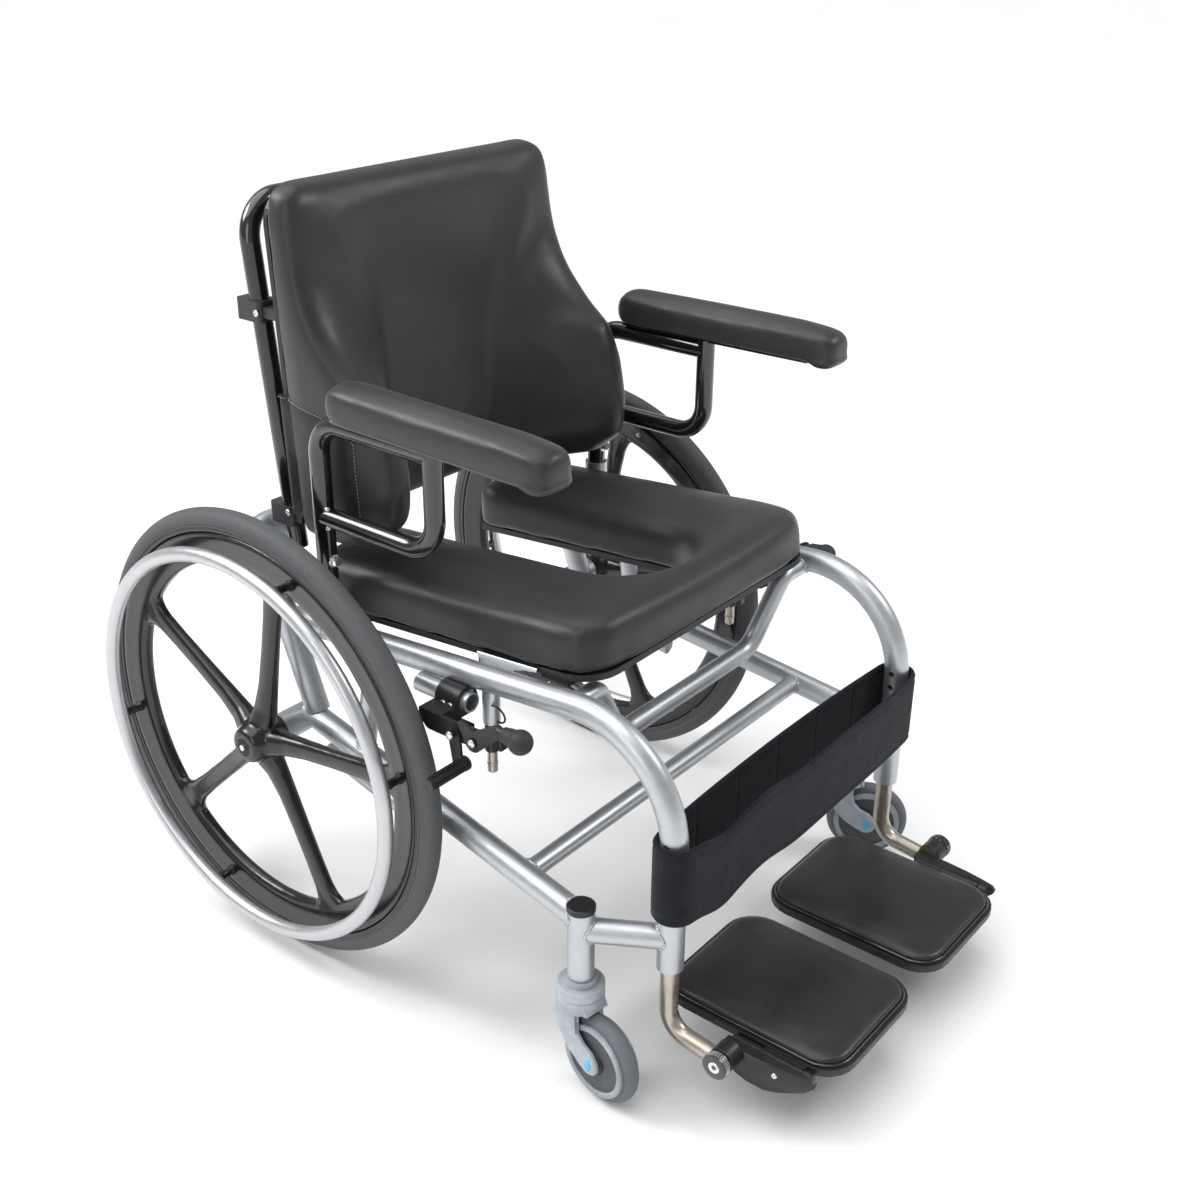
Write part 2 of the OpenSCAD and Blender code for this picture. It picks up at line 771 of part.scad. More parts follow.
module brake_clamp() {
    color(plastic_black) {
        difference() {
            union() {
                translate([stub_x, clamp_y0 + clamp_len, stub_z])
                    along_front() cylinder(h = clamp_len, r = stub_r + clamp_wall);
                translate([stub_x, clamp_y0, stub_z - stub_r - clamp_wall])
                    cube([brake_x + brake_plate_t - stub_x, clamp_len, stub_r + clamp_wall]);
                plate_x(brake_x, brake_plate_t) {
                    link_plate(pivot_arm, pivot_lever, plate_end_r, plate_end_r);
                    link_plate(pivot_arm, [clamp_y0 + clamp_len / 2, stub_z - stub_r], plate_end_r, plate_end_r);
                }
            }
            translate([stub_x, clamp_y0 + clamp_len + over, stub_z])
                along_front() cylinder(h = clamp_len + over * 2, r = stub_r + weld_gap);
            rod([leg_x, rail_rear_y, rail_at(rail_rear_y)], [leg_x, leg_y, rail_at(leg_y)], tube_r + seat_gap);
        }
        for (p = [pivot_arm, pivot_lever]) translate([brake_x, p[0], p[1]]) along_x() {
            cylinder(h = brake_plate_t + brake_layer * 2, r = pivot_r);
            translate([0, 0, brake_plate_t + brake_layer * 2]) cylinder(h = brake_plate_t / 2, r = rivet_r);
        }
    }
}

module brake_arm() {
    x = brake_x + brake_plate_t + seat_gap;
    t = brake_layer - seat_gap * 2;
    color(plastic_black) difference() {
        union() {
            plate_x(x, t) {
                stepped_link(pivot_arm, arm_foot, arm_top_end_r, arm_foot_end_r);
                stepped_link(arm_foot, shoe_at, rivet_r, shoe_end_r);
            }
            translate([x, shoe_at[0], shoe_at[1]]) along_x() {
                cylinder(h = shoe_len, r = shoe_r);
                for (i = [0 : shoe_ribs / 2 - 1]) rotate(i * 360 / shoe_ribs)
                    translate([-shoe_r - rib_out, -rib_out, t * 2])
                        cube([shoe_r * 2 + rib_out * 2, rib_out * 2, shoe_len - t * 3]);
            }
        }
        translate([0, pivot_arm[0], pivot_arm[1]]) along_x() cylinder(h = wheel_x * 2, r = pivot_r + run_gap);
    }
}

module brake_lever() {
    x = brake_x + brake_plate_t + brake_layer + seat_gap;
    t = brake_layer - seat_gap * 2;
    color(plastic_black) difference() {
        union() {
            plate_x(x, t) {
                link_plate(pivot_lever, neck_at, plate_end_r, lever_neck_r);
                link_plate(pivot_lever, lever_heel, lever_heel_r, rivet_r);
            }
            rod([x + t / 2, neck_at[0], neck_at[1]], [x + t / 2, lever_tip[0], lever_tip[1]], rivet_r);
        }
        translate([0, pivot_lever[0], pivot_lever[1]]) along_x() cylinder(h = wheel_x * 2, r = pivot_r + run_gap);
    }
}

module brake_grip() {
    x = brake_x + brake_plate_t + brake_layer * 3 / 2;
    neck = [x, neck_at[0], neck_at[1]];
    lever_end = [x, lever_tip[0], lever_tip[1]];
    bulb = [x, grip_at[0], grip_at[1]];
    d = unit(bulb - neck);
    start = neck + d * (lever_neck_r + seat_gap);
    color(tyre_grey) difference() {
        union() {
            translate(bulb) sphere(r = grip_r);
            translate(start) rotate([0, acos(d[2]), atan2(d[1], d[0])])
                cylinder(h = norm(bulb - start), r1 = grip_neck_r, r2 = grip_r * grip_cone_share);
        }
        rod(neck, lever_end + unit(lever_end - neck) * seat_gap, rivet_r + weld_gap);
    }
}

// Back posts, joined above the backrest by their own crossbar

post_r = 12.5;
post_low_y = 51;
post_low_drop = 20;
post_high_y = 98.5;
post_high_drop = 36;
post_low = [post_x, post_low_y, arch_top[2] - post_low_drop];
post_high = [post_x, post_high_y, back_top_z - post_high_drop];
hoop_bend_r = 48;
back_lean = 3.15;
back_foot_y = 21;
function back_y(z) = back_foot_y + (z - back_low_z) * tan(back_lean);
function post_y(z) = post_low[1] + (post_high[1] - post_low[1]) * (z - post_low[2]) / (post_high[2] - post_low[2]);

module back_hoop() {
    color(gloss_black) tube_run(
        [post_low, post_high, other(post_high), other(post_low)],
        [hoop_bend_r, hoop_bend_r], post_r
    );
}

clamp_half_w = 15;
clamp_h = 26;
clamp_back = 17;
clamp_corner_r = 6;
clamp_low_rise = 20;
clamp_high_rise = 280;
clamp_low_z = back_low_z + clamp_low_rise;
clamp_high_z = back_low_z + clamp_high_rise;
neck_half_w = 10;

module back_clamp(z) {
    front = back_y(z) + shell_t / cos(back_lean) + seat_gap * 3;
    color(plastic_black) for (sd = [-1, 1]) side(sd) translate([0, 0, z - clamp_h / 2]) difference() {
        union() {
            linear_extrude(clamp_h) polygon(rounded(
                post_x - clamp_half_w, post_x + clamp_half_w,
                post_y(z) - clamp_half_w, post_y(z) + post_r + clamp_back, clamp_corner_r
            ));
            translate([post_x - neck_half_w, front, clamp_h / 4])
                cube([neck_half_w * 2, post_y(z) - front, clamp_h / 2]);
        }
        rod([post_x, post_y(z - clamp_h), -clamp_h / 2], [post_x, post_y(z + clamp_h), clamp_h * 3 / 2],
            post_r + weld_gap);
    }
}

// Backrest: a leaning board and a cushion with side wings

shell_inset = 9;
shell_corner_r = 38;

module backrest_shell() {
    half = back_half_w - shell_inset;
    tall = (back_top_z - back_low_z) / cos(back_lean);
    color(gloss_black) translate([0, back_foot_y, back_low_z]) rotate([90 - back_lean, 0, 0])
        translate([0, 0, -shell_t - seat_gap]) linear_extrude(shell_t)
            polygon(rounded(-half, half, shell_inset, tall - shell_inset * 2, shell_corner_r));
}

// Shares of the wings' reach at shares of the backrest's height
wing_shares = [
    [0, 0.4], [0.034, 0.7], [0.113, 0.97], [0.225, 1], [0.36, 0.93], [0.46, 0.8],
    [0.518, 0.57], [0.63, 0.27], [0.743, 0.13], [0.968, 0], [1, 0]
];
// Shares of the backrest's height at which its rings lie
back_level_shares = [
    0, 0.012, 0.034, 0.07, 0.113, 0.17, 0.225, 0.29, 0.36, 0.41, 0.46, 0.49, 0.518, 0.56, 0.6,
    0.65, 0.743, 0.83, 0.9, 0.94, 0.965, 0.985, 0.996, 1
];
// Shares of the half width at which the front face is drawn, from the centre out
back_inner_shares = [0, 0.15, 0.3, 0.42, 0.52, 0.6, 0.67, 0.73, 0.79, 0.84];
back_edge_r = 20;
back_corner_r = 42;
back_centre_y = 0;
wing_edge_r = 24;
wing_start_share = 0.4;

function eased(t) = t * t * (3 - 2 * t);
function round_in(d, r) = d >= r ? 0 : r - sqrt(r * r - (r - d) * (r - d));

function back_ring(share) = let (
    z = back_low_z + (back_top_z - back_low_z) * share,
    from_top = back_top_z - z,
    from_low = z - back_low_z,
    inset = round_in(from_top, back_edge_r) + round_in(from_low, back_edge_r / 2),
    w = back_half_w - inset - round_in(from_top, back_corner_r) * 0.6,
    rear = back_y(z) - inset / 3,
    front = back_centre_y + inset,
    wing = back_centre_y - wing_reach * lookup(share, wing_shares) + inset,
    r = min(wing_edge_r, (rear - wing) * 0.45),
    half = [
        for (t = [0, 0.5]) [w * t, rear],
        each [for (i = [0 : 3]) [w - r * 0.4 * (1 - sin(i * 30)), rear - r * 0.4 * (1 - cos(i * 30))]],
        [w, (rear + wing) / 2],
        each [for (i = [0 : 4]) [w - r * (1 - cos(i * 22.5)), wing + r * (1 - sin(i * 22.5))]],
        for (i = [len(back_inner_shares) - 1 : -1 : 0]) let (
            x = back_half_w * back_inner_shares[i] * w / back_half_w,
            span = w - r - w * wing_start_share,
            t = max(0, (x - w * wing_start_share) / span)
        ) [x, front + (wing - front) * eased(min(1, t * 1.04))]
    ],
    n = len(half)
) [
    for (i = [0 : n - 1]) [half[i][0], half[i][1], z],
    for (i = [n - 2 : -1 : 1]) [-half[i][0], half[i][1], z]
];

module backrest_pad() {
    color(leather) skin([for (t = back_level_shares) back_ring(t)]);
}

// Seat: everything here is drawn on the slope of the side tubes, with z at zero on their top line

board_inset = 9;
hook_t = 9;
hook_len = 50;
hook_drop = 13;
hook_front_y = -330;
seat_corner_r = 45;

module on_rails() {
    translate([0, 0, rail_at(0) + rail_top_rise]) rotate([-rail_slope, 0, 0]) children();
}

module seat_board() {
    half = seat_half_w - board_inset;
    slot = slot_half_w + board_inset;
    arc_y = slot_half_w - slot_front;
    color(steel) on_rails() {
        translate([0, 0, seat_gap]) linear_extrude(seat_board_t) difference() {
            polygon(rounded(-half, half, board_inset - seat_front, seat_rear - board_inset, seat_corner_r));
            translate([0, arc_y]) circle(r = slot);
            translate([-slot, arc_y]) square([slot * 2, seat_front]);
        }
        for (sd = [-1, 1]) side(sd)
            translate([leg_x - tube_r - seat_gap - hook_t, hook_front_y, -hook_drop])
                cube([hook_t, hook_len, hook_drop + seat_board_t / 2]);
    }
}

seat_power = 7;
seat_edge_r = 26;
seat_low_r = 8;
seat_end_r = 22;
seat_leg_steps = 8;
seat_arc_steps = 22;

// One cross-section of the cushion between a point on the opening's edge and one on the outer edge
function seat_ring(a, b, from_end) = let (
    wide = norm(b - a),
    d = (b - a) / wide,
    cut = round_in(from_end, seat_end_r),
    tall = seat_t,
    r = seat_edge_r,
    q = seat_low_r,
    profile = [
        [q / 3, 0], [wide / 2, 0], [wide - q / 3, 0],
        [wide, q], [wide, tall - r],
        [wide - r * 0.1, tall - r * 0.55], [wide - r * 0.38, tall - r * 0.18],
        [wide - r, tall + seat_crown * 0.3],
        [wide * 0.62, tall + seat_crown * 0.9], [wide * 0.5, tall + seat_crown], [wide * 0.38, tall + seat_crown * 0.9],
        [r, tall + seat_crown * 0.3],
        [r * 0.38, tall - r * 0.18], [r * 0.1, tall - r * 0.55],
        [0, tall - r], [0, q]
    ]
) [
    for (p = profile) let (
        s = min(max(p[0], cut), wide - cut),
        h = min(max(p[1], cut * 0.5), tall + seat_crown - cut)
    ) [a[0] + d[0] * s, a[1] + d[1] * s, seat_base + h]
];
seat_base = seat_gap * 2 + seat_board_t;

module seat_pad() {
    arc_y = slot_half_w - slot_front;
    ahead = seat_front + arc_y;
    end_insets = [for (i = [0 : 3]) seat_end_r * (1 - cos(i * 30))];
    leg_ys = [
        for (i = [0 : 3]) seat_rear - end_insets[i],
        for (i = [1 : seat_leg_steps]) let (t = i / seat_leg_steps)
            (seat_rear - seat_end_r) * (1 - t) + arc_y * t
    ];
    function leg_ring(sd, y) = sd < 0
        ? seat_ring([-slot_half_w, y], [-seat_half_w, y], seat_rear - y)
        : seat_ring([slot_half_w, y], [seat_half_w, y], seat_rear - y);
    function arc_ring(turn) = let (
        c = cos(turn), s = sin(turn),
        reach = pow(pow(abs(c) / seat_half_w, seat_power) + pow(abs(s) / ahead, seat_power), -1 / seat_power)
    ) seat_ring([slot_half_w * c, arc_y + slot_half_w * s], [reach * c, arc_y + reach * s], seat_end_r);
    color(leather) on_rails() skin([
        for (y = leg_ys) leg_ring(-1, y),
        for (i = [1 : seat_arc_steps - 1]) arc_ring(180 * (1 + i / seat_arc_steps)),
        for (i = [len(leg_ys) - 1 : -1 : 0]) leg_ring(1, leg_ys[i])
    ]);
}

// Armrests: a welded loop whose post drops into the frame's socket

arm_plate_t = 4;
arm_plate_inset = 12;
arm_bend_r = 42;
arm_front = 245;
arm_rail_r = 12.2;
arm_foot_z = socket_top_z - socket_bore_depth + seat_gap;
arm_bolt_rise = 26;
arm_bolt_z = socket_top_z + arm_bolt_rise;
arm_bolt_r = 5;
arm_bolt_out = 7;
arm_rear = 100;
arm_toe = 2;
arm_shift = 5;
nose_share = 0.88;
nose_end_share = 0.95;

module on_arm() {
    translate([arm_x + arm_shift, -arm_rear, arm_pad_z]) rotate(arm_toe) children();
}

module arm_frame() {
    post_top = arm_pad_z - arm_plate_t - arm_tube_r;
    back_top = [arm_x, -arm_post_front, post_top];
    front_top = [arm_x, -arm_front, post_top];
    color(gloss_black) {
        tube_run([[arm_x, -arm_post_front, arm_foot_z], back_top, front_top], [arm_bend_r], arm_tube_r);
        tube_run(
            [
                [arm_x, -arm_front, arm_pad_z - arm_plate_t / 2],
                [arm_x, -arm_front, arm_rail_z],
                [arm_x, -arm_post_front, arm_rail_z]
            ],
            [arm_bend_r], arm_rail_r
        );
        translate([arm_x, -arm_post_front, arm_bolt_z])
            along_front() cylinder(h = arm_tube_r + arm_bolt_out, r = arm_bolt_r, $fn = 6);
        on_arm() translate([-arm_pad_w / 2 + arm_plate_inset, -arm_pad_len * nose_share, -arm_plate_t])
            cube([arm_pad_w - arm_plate_inset * 2, arm_pad_len * nose_share - arm_plate_inset, arm_plate_t]);
    }
}

// Shares of the pad's length at which its rings lie, and by how much each is drawn in there
arm_ring_shares = [
    [0, 1], [0.006, 0.62], [0.02, 0.3], [0.045, 0.08], [0.075, 0], [0.3, 0], [0.6, 0], [0.88, 0],
    [0.925, 0], [0.955, 0.08], [0.98, 0.3], [0.994, 0.62], [1, 1]
];
arm_end_r = 20;
arm_crown = 4;
arm_low_r = 6;
arm_top_r = 15;
arm_nose_drop = 9;

function arm_ring(share, draw) = let (
    cut = draw * arm_end_r,
    w = arm_pad_w / 2 - cut * 0.8,
    top = arm_pad_t - cut * 0.8,
    nose = min(1, max(0, (share - nose_share) / (nose_end_share - nose_share))),
    low = cut / 2 - arm_nose_drop * eased(nose) + seat_gap,
    y = -arm_pad_len * share,
    r = min(arm_top_r, w * 0.65),
    half = [
        [w - arm_low_r / 3, low], [w, low + arm_low_r], [w, top - r],
        [w - r * 0.12, top - r * 0.5], [w - r * 0.5, top - r * 0.12],
        [w - r, top], [w / 4, top + arm_crown * (1 - draw)]
    ]
) [
    for (i = [0 : len(half) - 1]) [half[i][0], y, half[i][1]],
    for (i = [len(half) - 1 : -1 : 0]) [-half[i][0], y, half[i][1]]
];

module arm_pad() {
    color(leather) on_arm() skin([for (s = arm_ring_shares) arm_ring(s[0], s[1])]);
}

// Footrest tube, sliding in the leg, and the snap button of its height lock

foot_tube_r = foot_tube_d / 2;
foot_bend_r = 32;
foot_elbow_z = 93.5;
pitch_y = -662;
pitch_z = 95;
eye_r = 15;
pitch_pin_r = 4;
foot_button_r = 3.5;
button_bore_share = 0.6;
foot_button_len = 9;
foot_button_travel = 4;
foot_button_sink = foot_tube_r - sqrt(pow(foot_tube_r, 2) - pow(foot_button_r, 2));
foot_end = [leg_x, -655, 85];

module footrest_tube() {
    color(steel) difference() {
        union() {
            tube_run(
                [[leg_x, leg_y, foot_tube_top], [leg_x, leg_y, foot_elbow_z], foot_end],
                [foot_bend_r], foot_tube_r
            );
            translate([leg_x - foot_tube_r, pitch_y, pitch_z]) along_x() cylinder(h = foot_tube_d, r = eye_r);
        }
        translate([leg_x - foot_tube_d, pitch_y, pitch_z])
            along_x() cylinder(h = foot_tube_d * 2, r = pitch_pin_r + run_gap);
        translate([leg_x - foot_tube_d, leg_y, hole_z])
            along_x() cylinder(h = foot_tube_d + foot_tube_r * button_bore_share, r = foot_button_r + run_gap);
    }
}

module foot_button() {
    color(silver) translate([leg_x - foot_tube_r + foot_button_sink + run_gap, leg_y, hole_z])
        along_x() cylinder(h = foot_button_len, r = foot_button_r);
}

// Footplate hinge: it turns about the eye and carries the flip pin

house_t = 16;
house_gap = 0.5;
house_out = leg_x - foot_tube_r - house_gap;
knuckle_r = 8;
flip_z = 92;
flip_x = house_out - house_t - knuckle_r / 3;
flip_pin_r = 3;
house_back = 648;
house_front = 780;
house_top = 100;
house_low = 57;
knuckle_gap = 0.5;
barrel_back = 690;
barrel_front = 745;
knob_r = 16;
knob_t = 13;
washer_t = 2;
washer_share = 0.7;

module foot_hinge() {
    eye_out = leg_x + foot_tube_r + house_gap;
    color(plastic_black) {
        difference() {
            union() {
                plate_x(house_out - house_t, house_t) polygon([
                    [-house_back, house_top], [-house_back, pitch_z - eye_r],
                    [-barrel_back, house_low], [knob_r - house_front, house_low],
                    [-house_front, house_low + knob_r / 2], [-house_front, house_top]
                ]);
                for (y = [[house_back + knob_r, barrel_back], [barrel_front, house_front - knob_r / 2]])
                    translate([flip_x, -y[0], flip_z]) along_front() cylinder(h = y[1] - y[0], r = knuckle_r);
            }
            translate([0, -barrel_back + knuckle_gap, 0]) along_front() translate([flip_x, flip_z, 0])
                cylinder(h = barrel_front - barrel_back + knuckle_gap * 2, r = knuckle_r + knuckle_gap);
        }
        translate([flip_x, -house_back - knob_r, flip_z])
            along_front() cylinder(h = house_front - house_back - knob_r, r = flip_pin_r);
        translate([house_out - house_t / 2, pitch_y, pitch_z])
            along_x() cylinder(h = eye_out + washer_t - house_out + house_t / 2, r = pitch_pin_r);
        translate([eye_out, pitch_y, pitch_z]) along_x() {
            cylinder(h = washer_t, r = knob_r * washer_share);
            translate([0, 0, washer_t]) cylinder(h = knob_t - washer_t, r = knob_r);
        }
    }
}

plate_t = 9;
plate_corner_r = 42;
rib_h = 6;
rib_t = 4;
rib_count = 4;
barrel_arm_t = 8;

module footplate() {
    back = plate_depth - plate_front;
    color(plastic_black) difference() {
        union() {
            translate([0, 0, plate_z - plate_t])
                linear_extrude(plate_t) polygon(rounded(plate_in, plate_out, -plate_front, back, plate_corner_r));
            for (i = [0 : rib_count - 1])
                translate([
                    plate_in + plate_corner_r,
                    -plate_front + plate_depth * (i + 1) / (rib_count + 1),
                    plate_z - plate_t - rib_h
                ]) cube([plate_out - plate_in - plate_corner_r * 3 / 2, rib_t, rib_h + plate_t / 2]);
            translate([flip_x, -barrel_back - knuckle_gap, flip_z])
                along_front() cylinder(h = barrel_front - barrel_back - knuckle_gap * 2, r = knuckle_r - knuckle_gap);
            translate([plate_out - barrel_arm_t, knuckle_gap - barrel_front, plate_z - plate_t])
                cube([flip_x - plate_out + barrel_arm_t, barrel_front - barrel_back - knuckle_gap * 2, barrel_arm_t]);
        }
        translate([flip_x, -barrel_back + over, flip_z])
            along_front() cylinder(h = barrel_front - barrel_back + over * 2, r = flip_pin_r + run_gap);
    }
}

foot_pad_inset = 5;
foot_pad_edge = 9;
foot_pad_crown = 7;
// Shares of the pad's half size and of its height, from its lower edge to the middle of its crown
foot_pad_shares = [[0.985, 0], [1, 0.22], [0.995, 0.42], [0.97, 0.56], [0.9, 0.72], [0.7, 0.88], [0.4, 0.97], [0.12, 1]];

module foot_pad() {
    cx = (plate_in + plate_out) / 2;
    cy = plate_depth / 2 - plate_front;
    hx = (plate_out - plate_in) / 2 - foot_pad_inset;
    hy = plate_depth / 2 - foot_pad_inset;
    tall = foot_pad_edge + foot_pad_crown;
    color(leather) translate([cx, cy, plate_z + seat_gap]) skin([
        for (s = foot_pad_shares) let (r = (plate_corner_r - foot_pad_inset) * s[0])
            [for (p = rounded(-hx * s[0], hx * s[0], -hy * s[0], hy * s[0], r, 4)) [p[0], p[1], tall * s[1]]]
    ]);
}

// Calf strap: a padded band that goes round both legs and hangs in shallow folds

strap_out = 4;
strap_end_steps = 14;
strap_run_steps = 12;
strap_sag = 4;
strap_bow = 5;
strap_gap = seat_gap * 2;

// Points of the strap's path, drawn in by nothing or out by its thickness, as [x, y, share of the half width]
function strap_path(grow) = let (
    r = tube_r + strap_gap + strap_out + grow,
    end_x = leg_x - strap_out,
    n = strap_run_steps,
    front = [for (i = [1 : n - 1]) let (x = end_x * (1 - 2 * i / n)) [x, leg_y - r]],
    rear = [for (i = [1 : n - 1]) let (x = end_x * (2 * i / n - 1)) [x, leg_y + r]]
) [
    each arc(end_x, leg_y, r, 90, -90, strap_end_steps),
    each front,
    each arc(-end_x, leg_y, r, 270, 90, strap_end_steps),
    each rear
];

module calf_strap() {
    inner = strap_path(0);
    outer = strap_path(strap_t);
    n = len(inner);
    rings = [
        for (i = [0 : n - 1]) let (
            mid_share = max(0, 1 - pow(inner[i][0] / leg_x, 2)),
            ahead = inner[i][1] < leg_y,
            low = strap_z + strap_sag * mid_share * (ahead ? -1 : 1),
            bow = strap_bow * mid_share * (ahead ? -1 : 1),
            high = low + strap_h
        ) [
            [inner[i][0], inner[i][1] + bow, low],
            [outer[i][0], outer[i][1] + bow, low + strap_t / 4],
            [outer[i][0], outer[i][1] + bow, high - strap_t / 4],
            [inner[i][0], inner[i][1] + bow, high]
        ]
    ];
    m = len(rings[0]);
    color(plastic_black) polyhedron(
        points = [for (ring = rings) each ring],
        faces = [
            for (i = [0 : n - 1]) for (j = [0 : m - 1]) let (k = (j + 1) % m, h = (i + 1) % n)
                each [[i * m + j, h * m + j, i * m + k], [i * m + k, h * m + j, h * m + k]]
        ]
    );
}

placed() side(-1) side_tube();  // side_tube_right
placed() side(1) side_tube();  // side_tube_left
placed() side(-1) lower_tube();  // lower_tube_right
placed() side(1) lower_tube();  // lower_tube_left
placed() side(-1) caster_head();  // caster_head_right
placed() side(1) caster_head();  // caster_head_left
placed() side(-1) head_cap();  // head_cap_right
placed() side(1) head_cap();  // head_cap_left
placed() rear_arch();
placed() drop_cross_tube();
placed() low_cross_tube();
placed() side(-1) axle();  // axle_right
placed() side(1) axle();  // axle_left
placed() side(-1) axle_button();  // axle_button_right
placed() side(1) axle_button();  // axle_button_left
placed() back_hoop();
placed() back_clamp(clamp_high_z);  // back_clamps_upper
placed() back_clamp(clamp_low_z);  // back_clamps_lower
placed() backrest_shell();
placed() backrest_pad();
placed() seat_board();
placed() seat_pad();
placed() side(-1) arm_frame();  // arm_frame_right
placed() side(1) arm_frame();  // arm_frame_left
placed() side(-1) arm_pad();  // arm_pad_right
placed() side(1) arm_pad();  // arm_pad_left
placed() side(-1) tyre();  // tyre_right
placed() side(1) tyre();  // tyre_left
placed() side(-1) wheel();  // wheel_right
placed() side(1) wheel();  // wheel_left
placed() side(-1) handrim();  // handrim_right
placed() side(1) handrim();  // handrim_left
placed() caster_fork(-1);  // caster_fork_right
placed() caster_fork(1);  // caster_fork_left
placed() caster_wheel(-1);  // caster_wheel_right
placed() caster_wheel(1);  // caster_wheel_left
placed() caster_tyre(-1);  // caster_tyre_right
placed() caster_tyre(1);  // caster_tyre_left
placed() side(-1) brake_clamp();  // brake_clamp_right
placed() side(1) brake_clamp();  // brake_clamp_left
placed() side(-1) brake_lever();  // brake_lever_right
placed() side(1) brake_lever();  // brake_lever_left
placed() side(-1) brake_grip();  // brake_grip_right
placed() side(1) brake_grip();  // brake_grip_left
placed() side(-1) brake_arm();  // brake_arm_right
placed() side(1) brake_arm();  // brake_arm_left
placed() side(-1) footrest_tube();  // footrest_tube_right
placed() side(1) footrest_tube();  // footrest_tube_left
placed() side(-1) foot_button();  // foot_button_right
placed() side(1) foot_button();  // foot_button_left
placed() side(-1) foot_hinge();  // foot_hinge_right
placed() side(1) foot_hinge();  // foot_hinge_left
placed() side(-1) footplate();  // footplate_right
placed() side(1) footplate();  // footplate_left
placed() side(-1) foot_pad();  // foot_pad_right
placed() side(1) foot_pad();  // foot_pad_left
placed() calf_strap();
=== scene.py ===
import math

import bmesh
import bpy
import numpy as np
from mathutils import Matrix, Vector


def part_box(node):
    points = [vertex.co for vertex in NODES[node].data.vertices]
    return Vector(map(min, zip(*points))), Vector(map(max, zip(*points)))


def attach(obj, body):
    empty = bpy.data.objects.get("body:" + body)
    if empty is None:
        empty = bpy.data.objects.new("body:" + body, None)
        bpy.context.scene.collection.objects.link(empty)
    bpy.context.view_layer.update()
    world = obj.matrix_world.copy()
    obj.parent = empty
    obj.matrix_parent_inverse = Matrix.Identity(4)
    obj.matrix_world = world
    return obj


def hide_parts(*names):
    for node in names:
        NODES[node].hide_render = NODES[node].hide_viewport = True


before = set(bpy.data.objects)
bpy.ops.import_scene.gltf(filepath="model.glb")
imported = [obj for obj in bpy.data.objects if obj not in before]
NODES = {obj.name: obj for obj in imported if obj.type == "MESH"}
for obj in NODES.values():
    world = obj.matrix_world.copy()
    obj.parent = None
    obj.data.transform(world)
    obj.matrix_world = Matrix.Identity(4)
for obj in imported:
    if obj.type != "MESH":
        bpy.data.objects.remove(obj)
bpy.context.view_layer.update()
SIDES = (("right", -1), ("left", 1))

# The part's frame has its origin under the middle of the chair. Places are typed in the axle's frame,
# in millimetres, and at() moves them.
CENTRE_Y = 239.0
LEG_X, LEG_Y, TUBE_R = 252.0, -580.0, 16.0
SEAT_SLOPE = math.tan(math.radians(4.86))
BACK_LEAN = math.tan(math.radians(3.15))


def at(x, y, z):
    return Vector((x, y + CENTRE_Y, z)) / 1000


# Materials


def shader(name, colour, rough, metal=0.0, spec=0.5, coat=0.0, coat_rough=0.1, sheen=0.0):
    m = bpy.data.materials.new(name)
    m.use_nodes = True
    b = m.node_tree.nodes["Principled BSDF"]
    b.inputs["Base Color"].default_value = (*colour, 1)
    b.inputs["Roughness"].default_value = rough
    b.inputs["Metallic"].default_value = metal
    b.inputs["Specular IOR Level"].default_value = spec
    b.inputs["Coat Weight"].default_value = coat
    b.inputs["Coat Roughness"].default_value = coat_rough
    b.inputs["Sheen Weight"].default_value = sheen
    return m


class Graph:
    """Short names for adding nodes to a material."""

    def __init__(self, m):
        self.t = m.node_tree
        self.b = self.t.nodes["Principled BSDF"]
        self.co = self.t.nodes.new("ShaderNodeTexCoord").outputs["Object"]

    def noise(self, scale, detail=3.0, rough=0.5):
        n = self.t.nodes.new("ShaderNodeTexNoise")
        n.inputs["Scale"].default_value = scale
        n.inputs["Detail"].default_value = detail
        n.inputs["Roughness"].default_value = rough
        self.t.links.new(self.co, n.inputs["Vector"])
        return n.outputs["Fac"]

    def cells(self, scale, feature="F1"):
        n = self.t.nodes.new("ShaderNodeTexVoronoi")
        n.feature = feature
        n.inputs["Scale"].default_value = scale
        self.t.links.new(self.co, n.inputs["Vector"])
        return n.outputs["Distance"]

    def math(self, kind, a, b):
        n = self.t.nodes.new("ShaderNodeMath")
        n.operation = kind
        for i, v in enumerate((a, b)):
            if isinstance(v, (int, float)):
                n.inputs[i].default_value = v
            else:
                self.t.links.new(v, n.inputs[i])
        return n.outputs[0]

    def spread(self, value, low, high, low_in=0.3, high_in=0.7):
        n = self.t.nodes.new("ShaderNodeMapRange")
        n.inputs["From Min"].default_value = low_in
        n.inputs["From Max"].default_value = high_in
        n.inputs["To Min"].default_value = low
        n.inputs["To Max"].default_value = high
        self.t.links.new(value, n.inputs["Value"])
        return n.outputs["Result"]

    def ramp(self, value, stops):
        n = self.t.nodes.new("ShaderNodeValToRGB")
        r = n.color_ramp
        while len(r.elements) < len(stops):
            r.elements.new(0.5)
        for e, (pos, colour) in zip(r.elements, stops):
            e.position = pos
            e.color = (*colour, 1)
        self.t.links.new(value, n.inputs["Fac"])
        return n.outputs["Color"]

    def colour(self, value):
        self.t.links.new(value, self.b.inputs["Base Color"])

    def roughness(self, value):
        self.t.links.new(value, self.b.inputs["Roughness"])

    def bump(self, height, depth, strength=1.0, onto=None):
        n = self.t.nodes.new("ShaderNodeBump")
        n.inputs["Strength"].default_value = strength
        n.inputs["Distance"].default_value = depth
        self.t.links.new(height, n.inputs["Height"])
        if onto is not None:
            self.t.links.new(onto, n.inputs["Normal"])
        self.t.links.new(n.outputs["Normal"], self.b.inputs["Normal"])
        return n.outputs["Normal"]


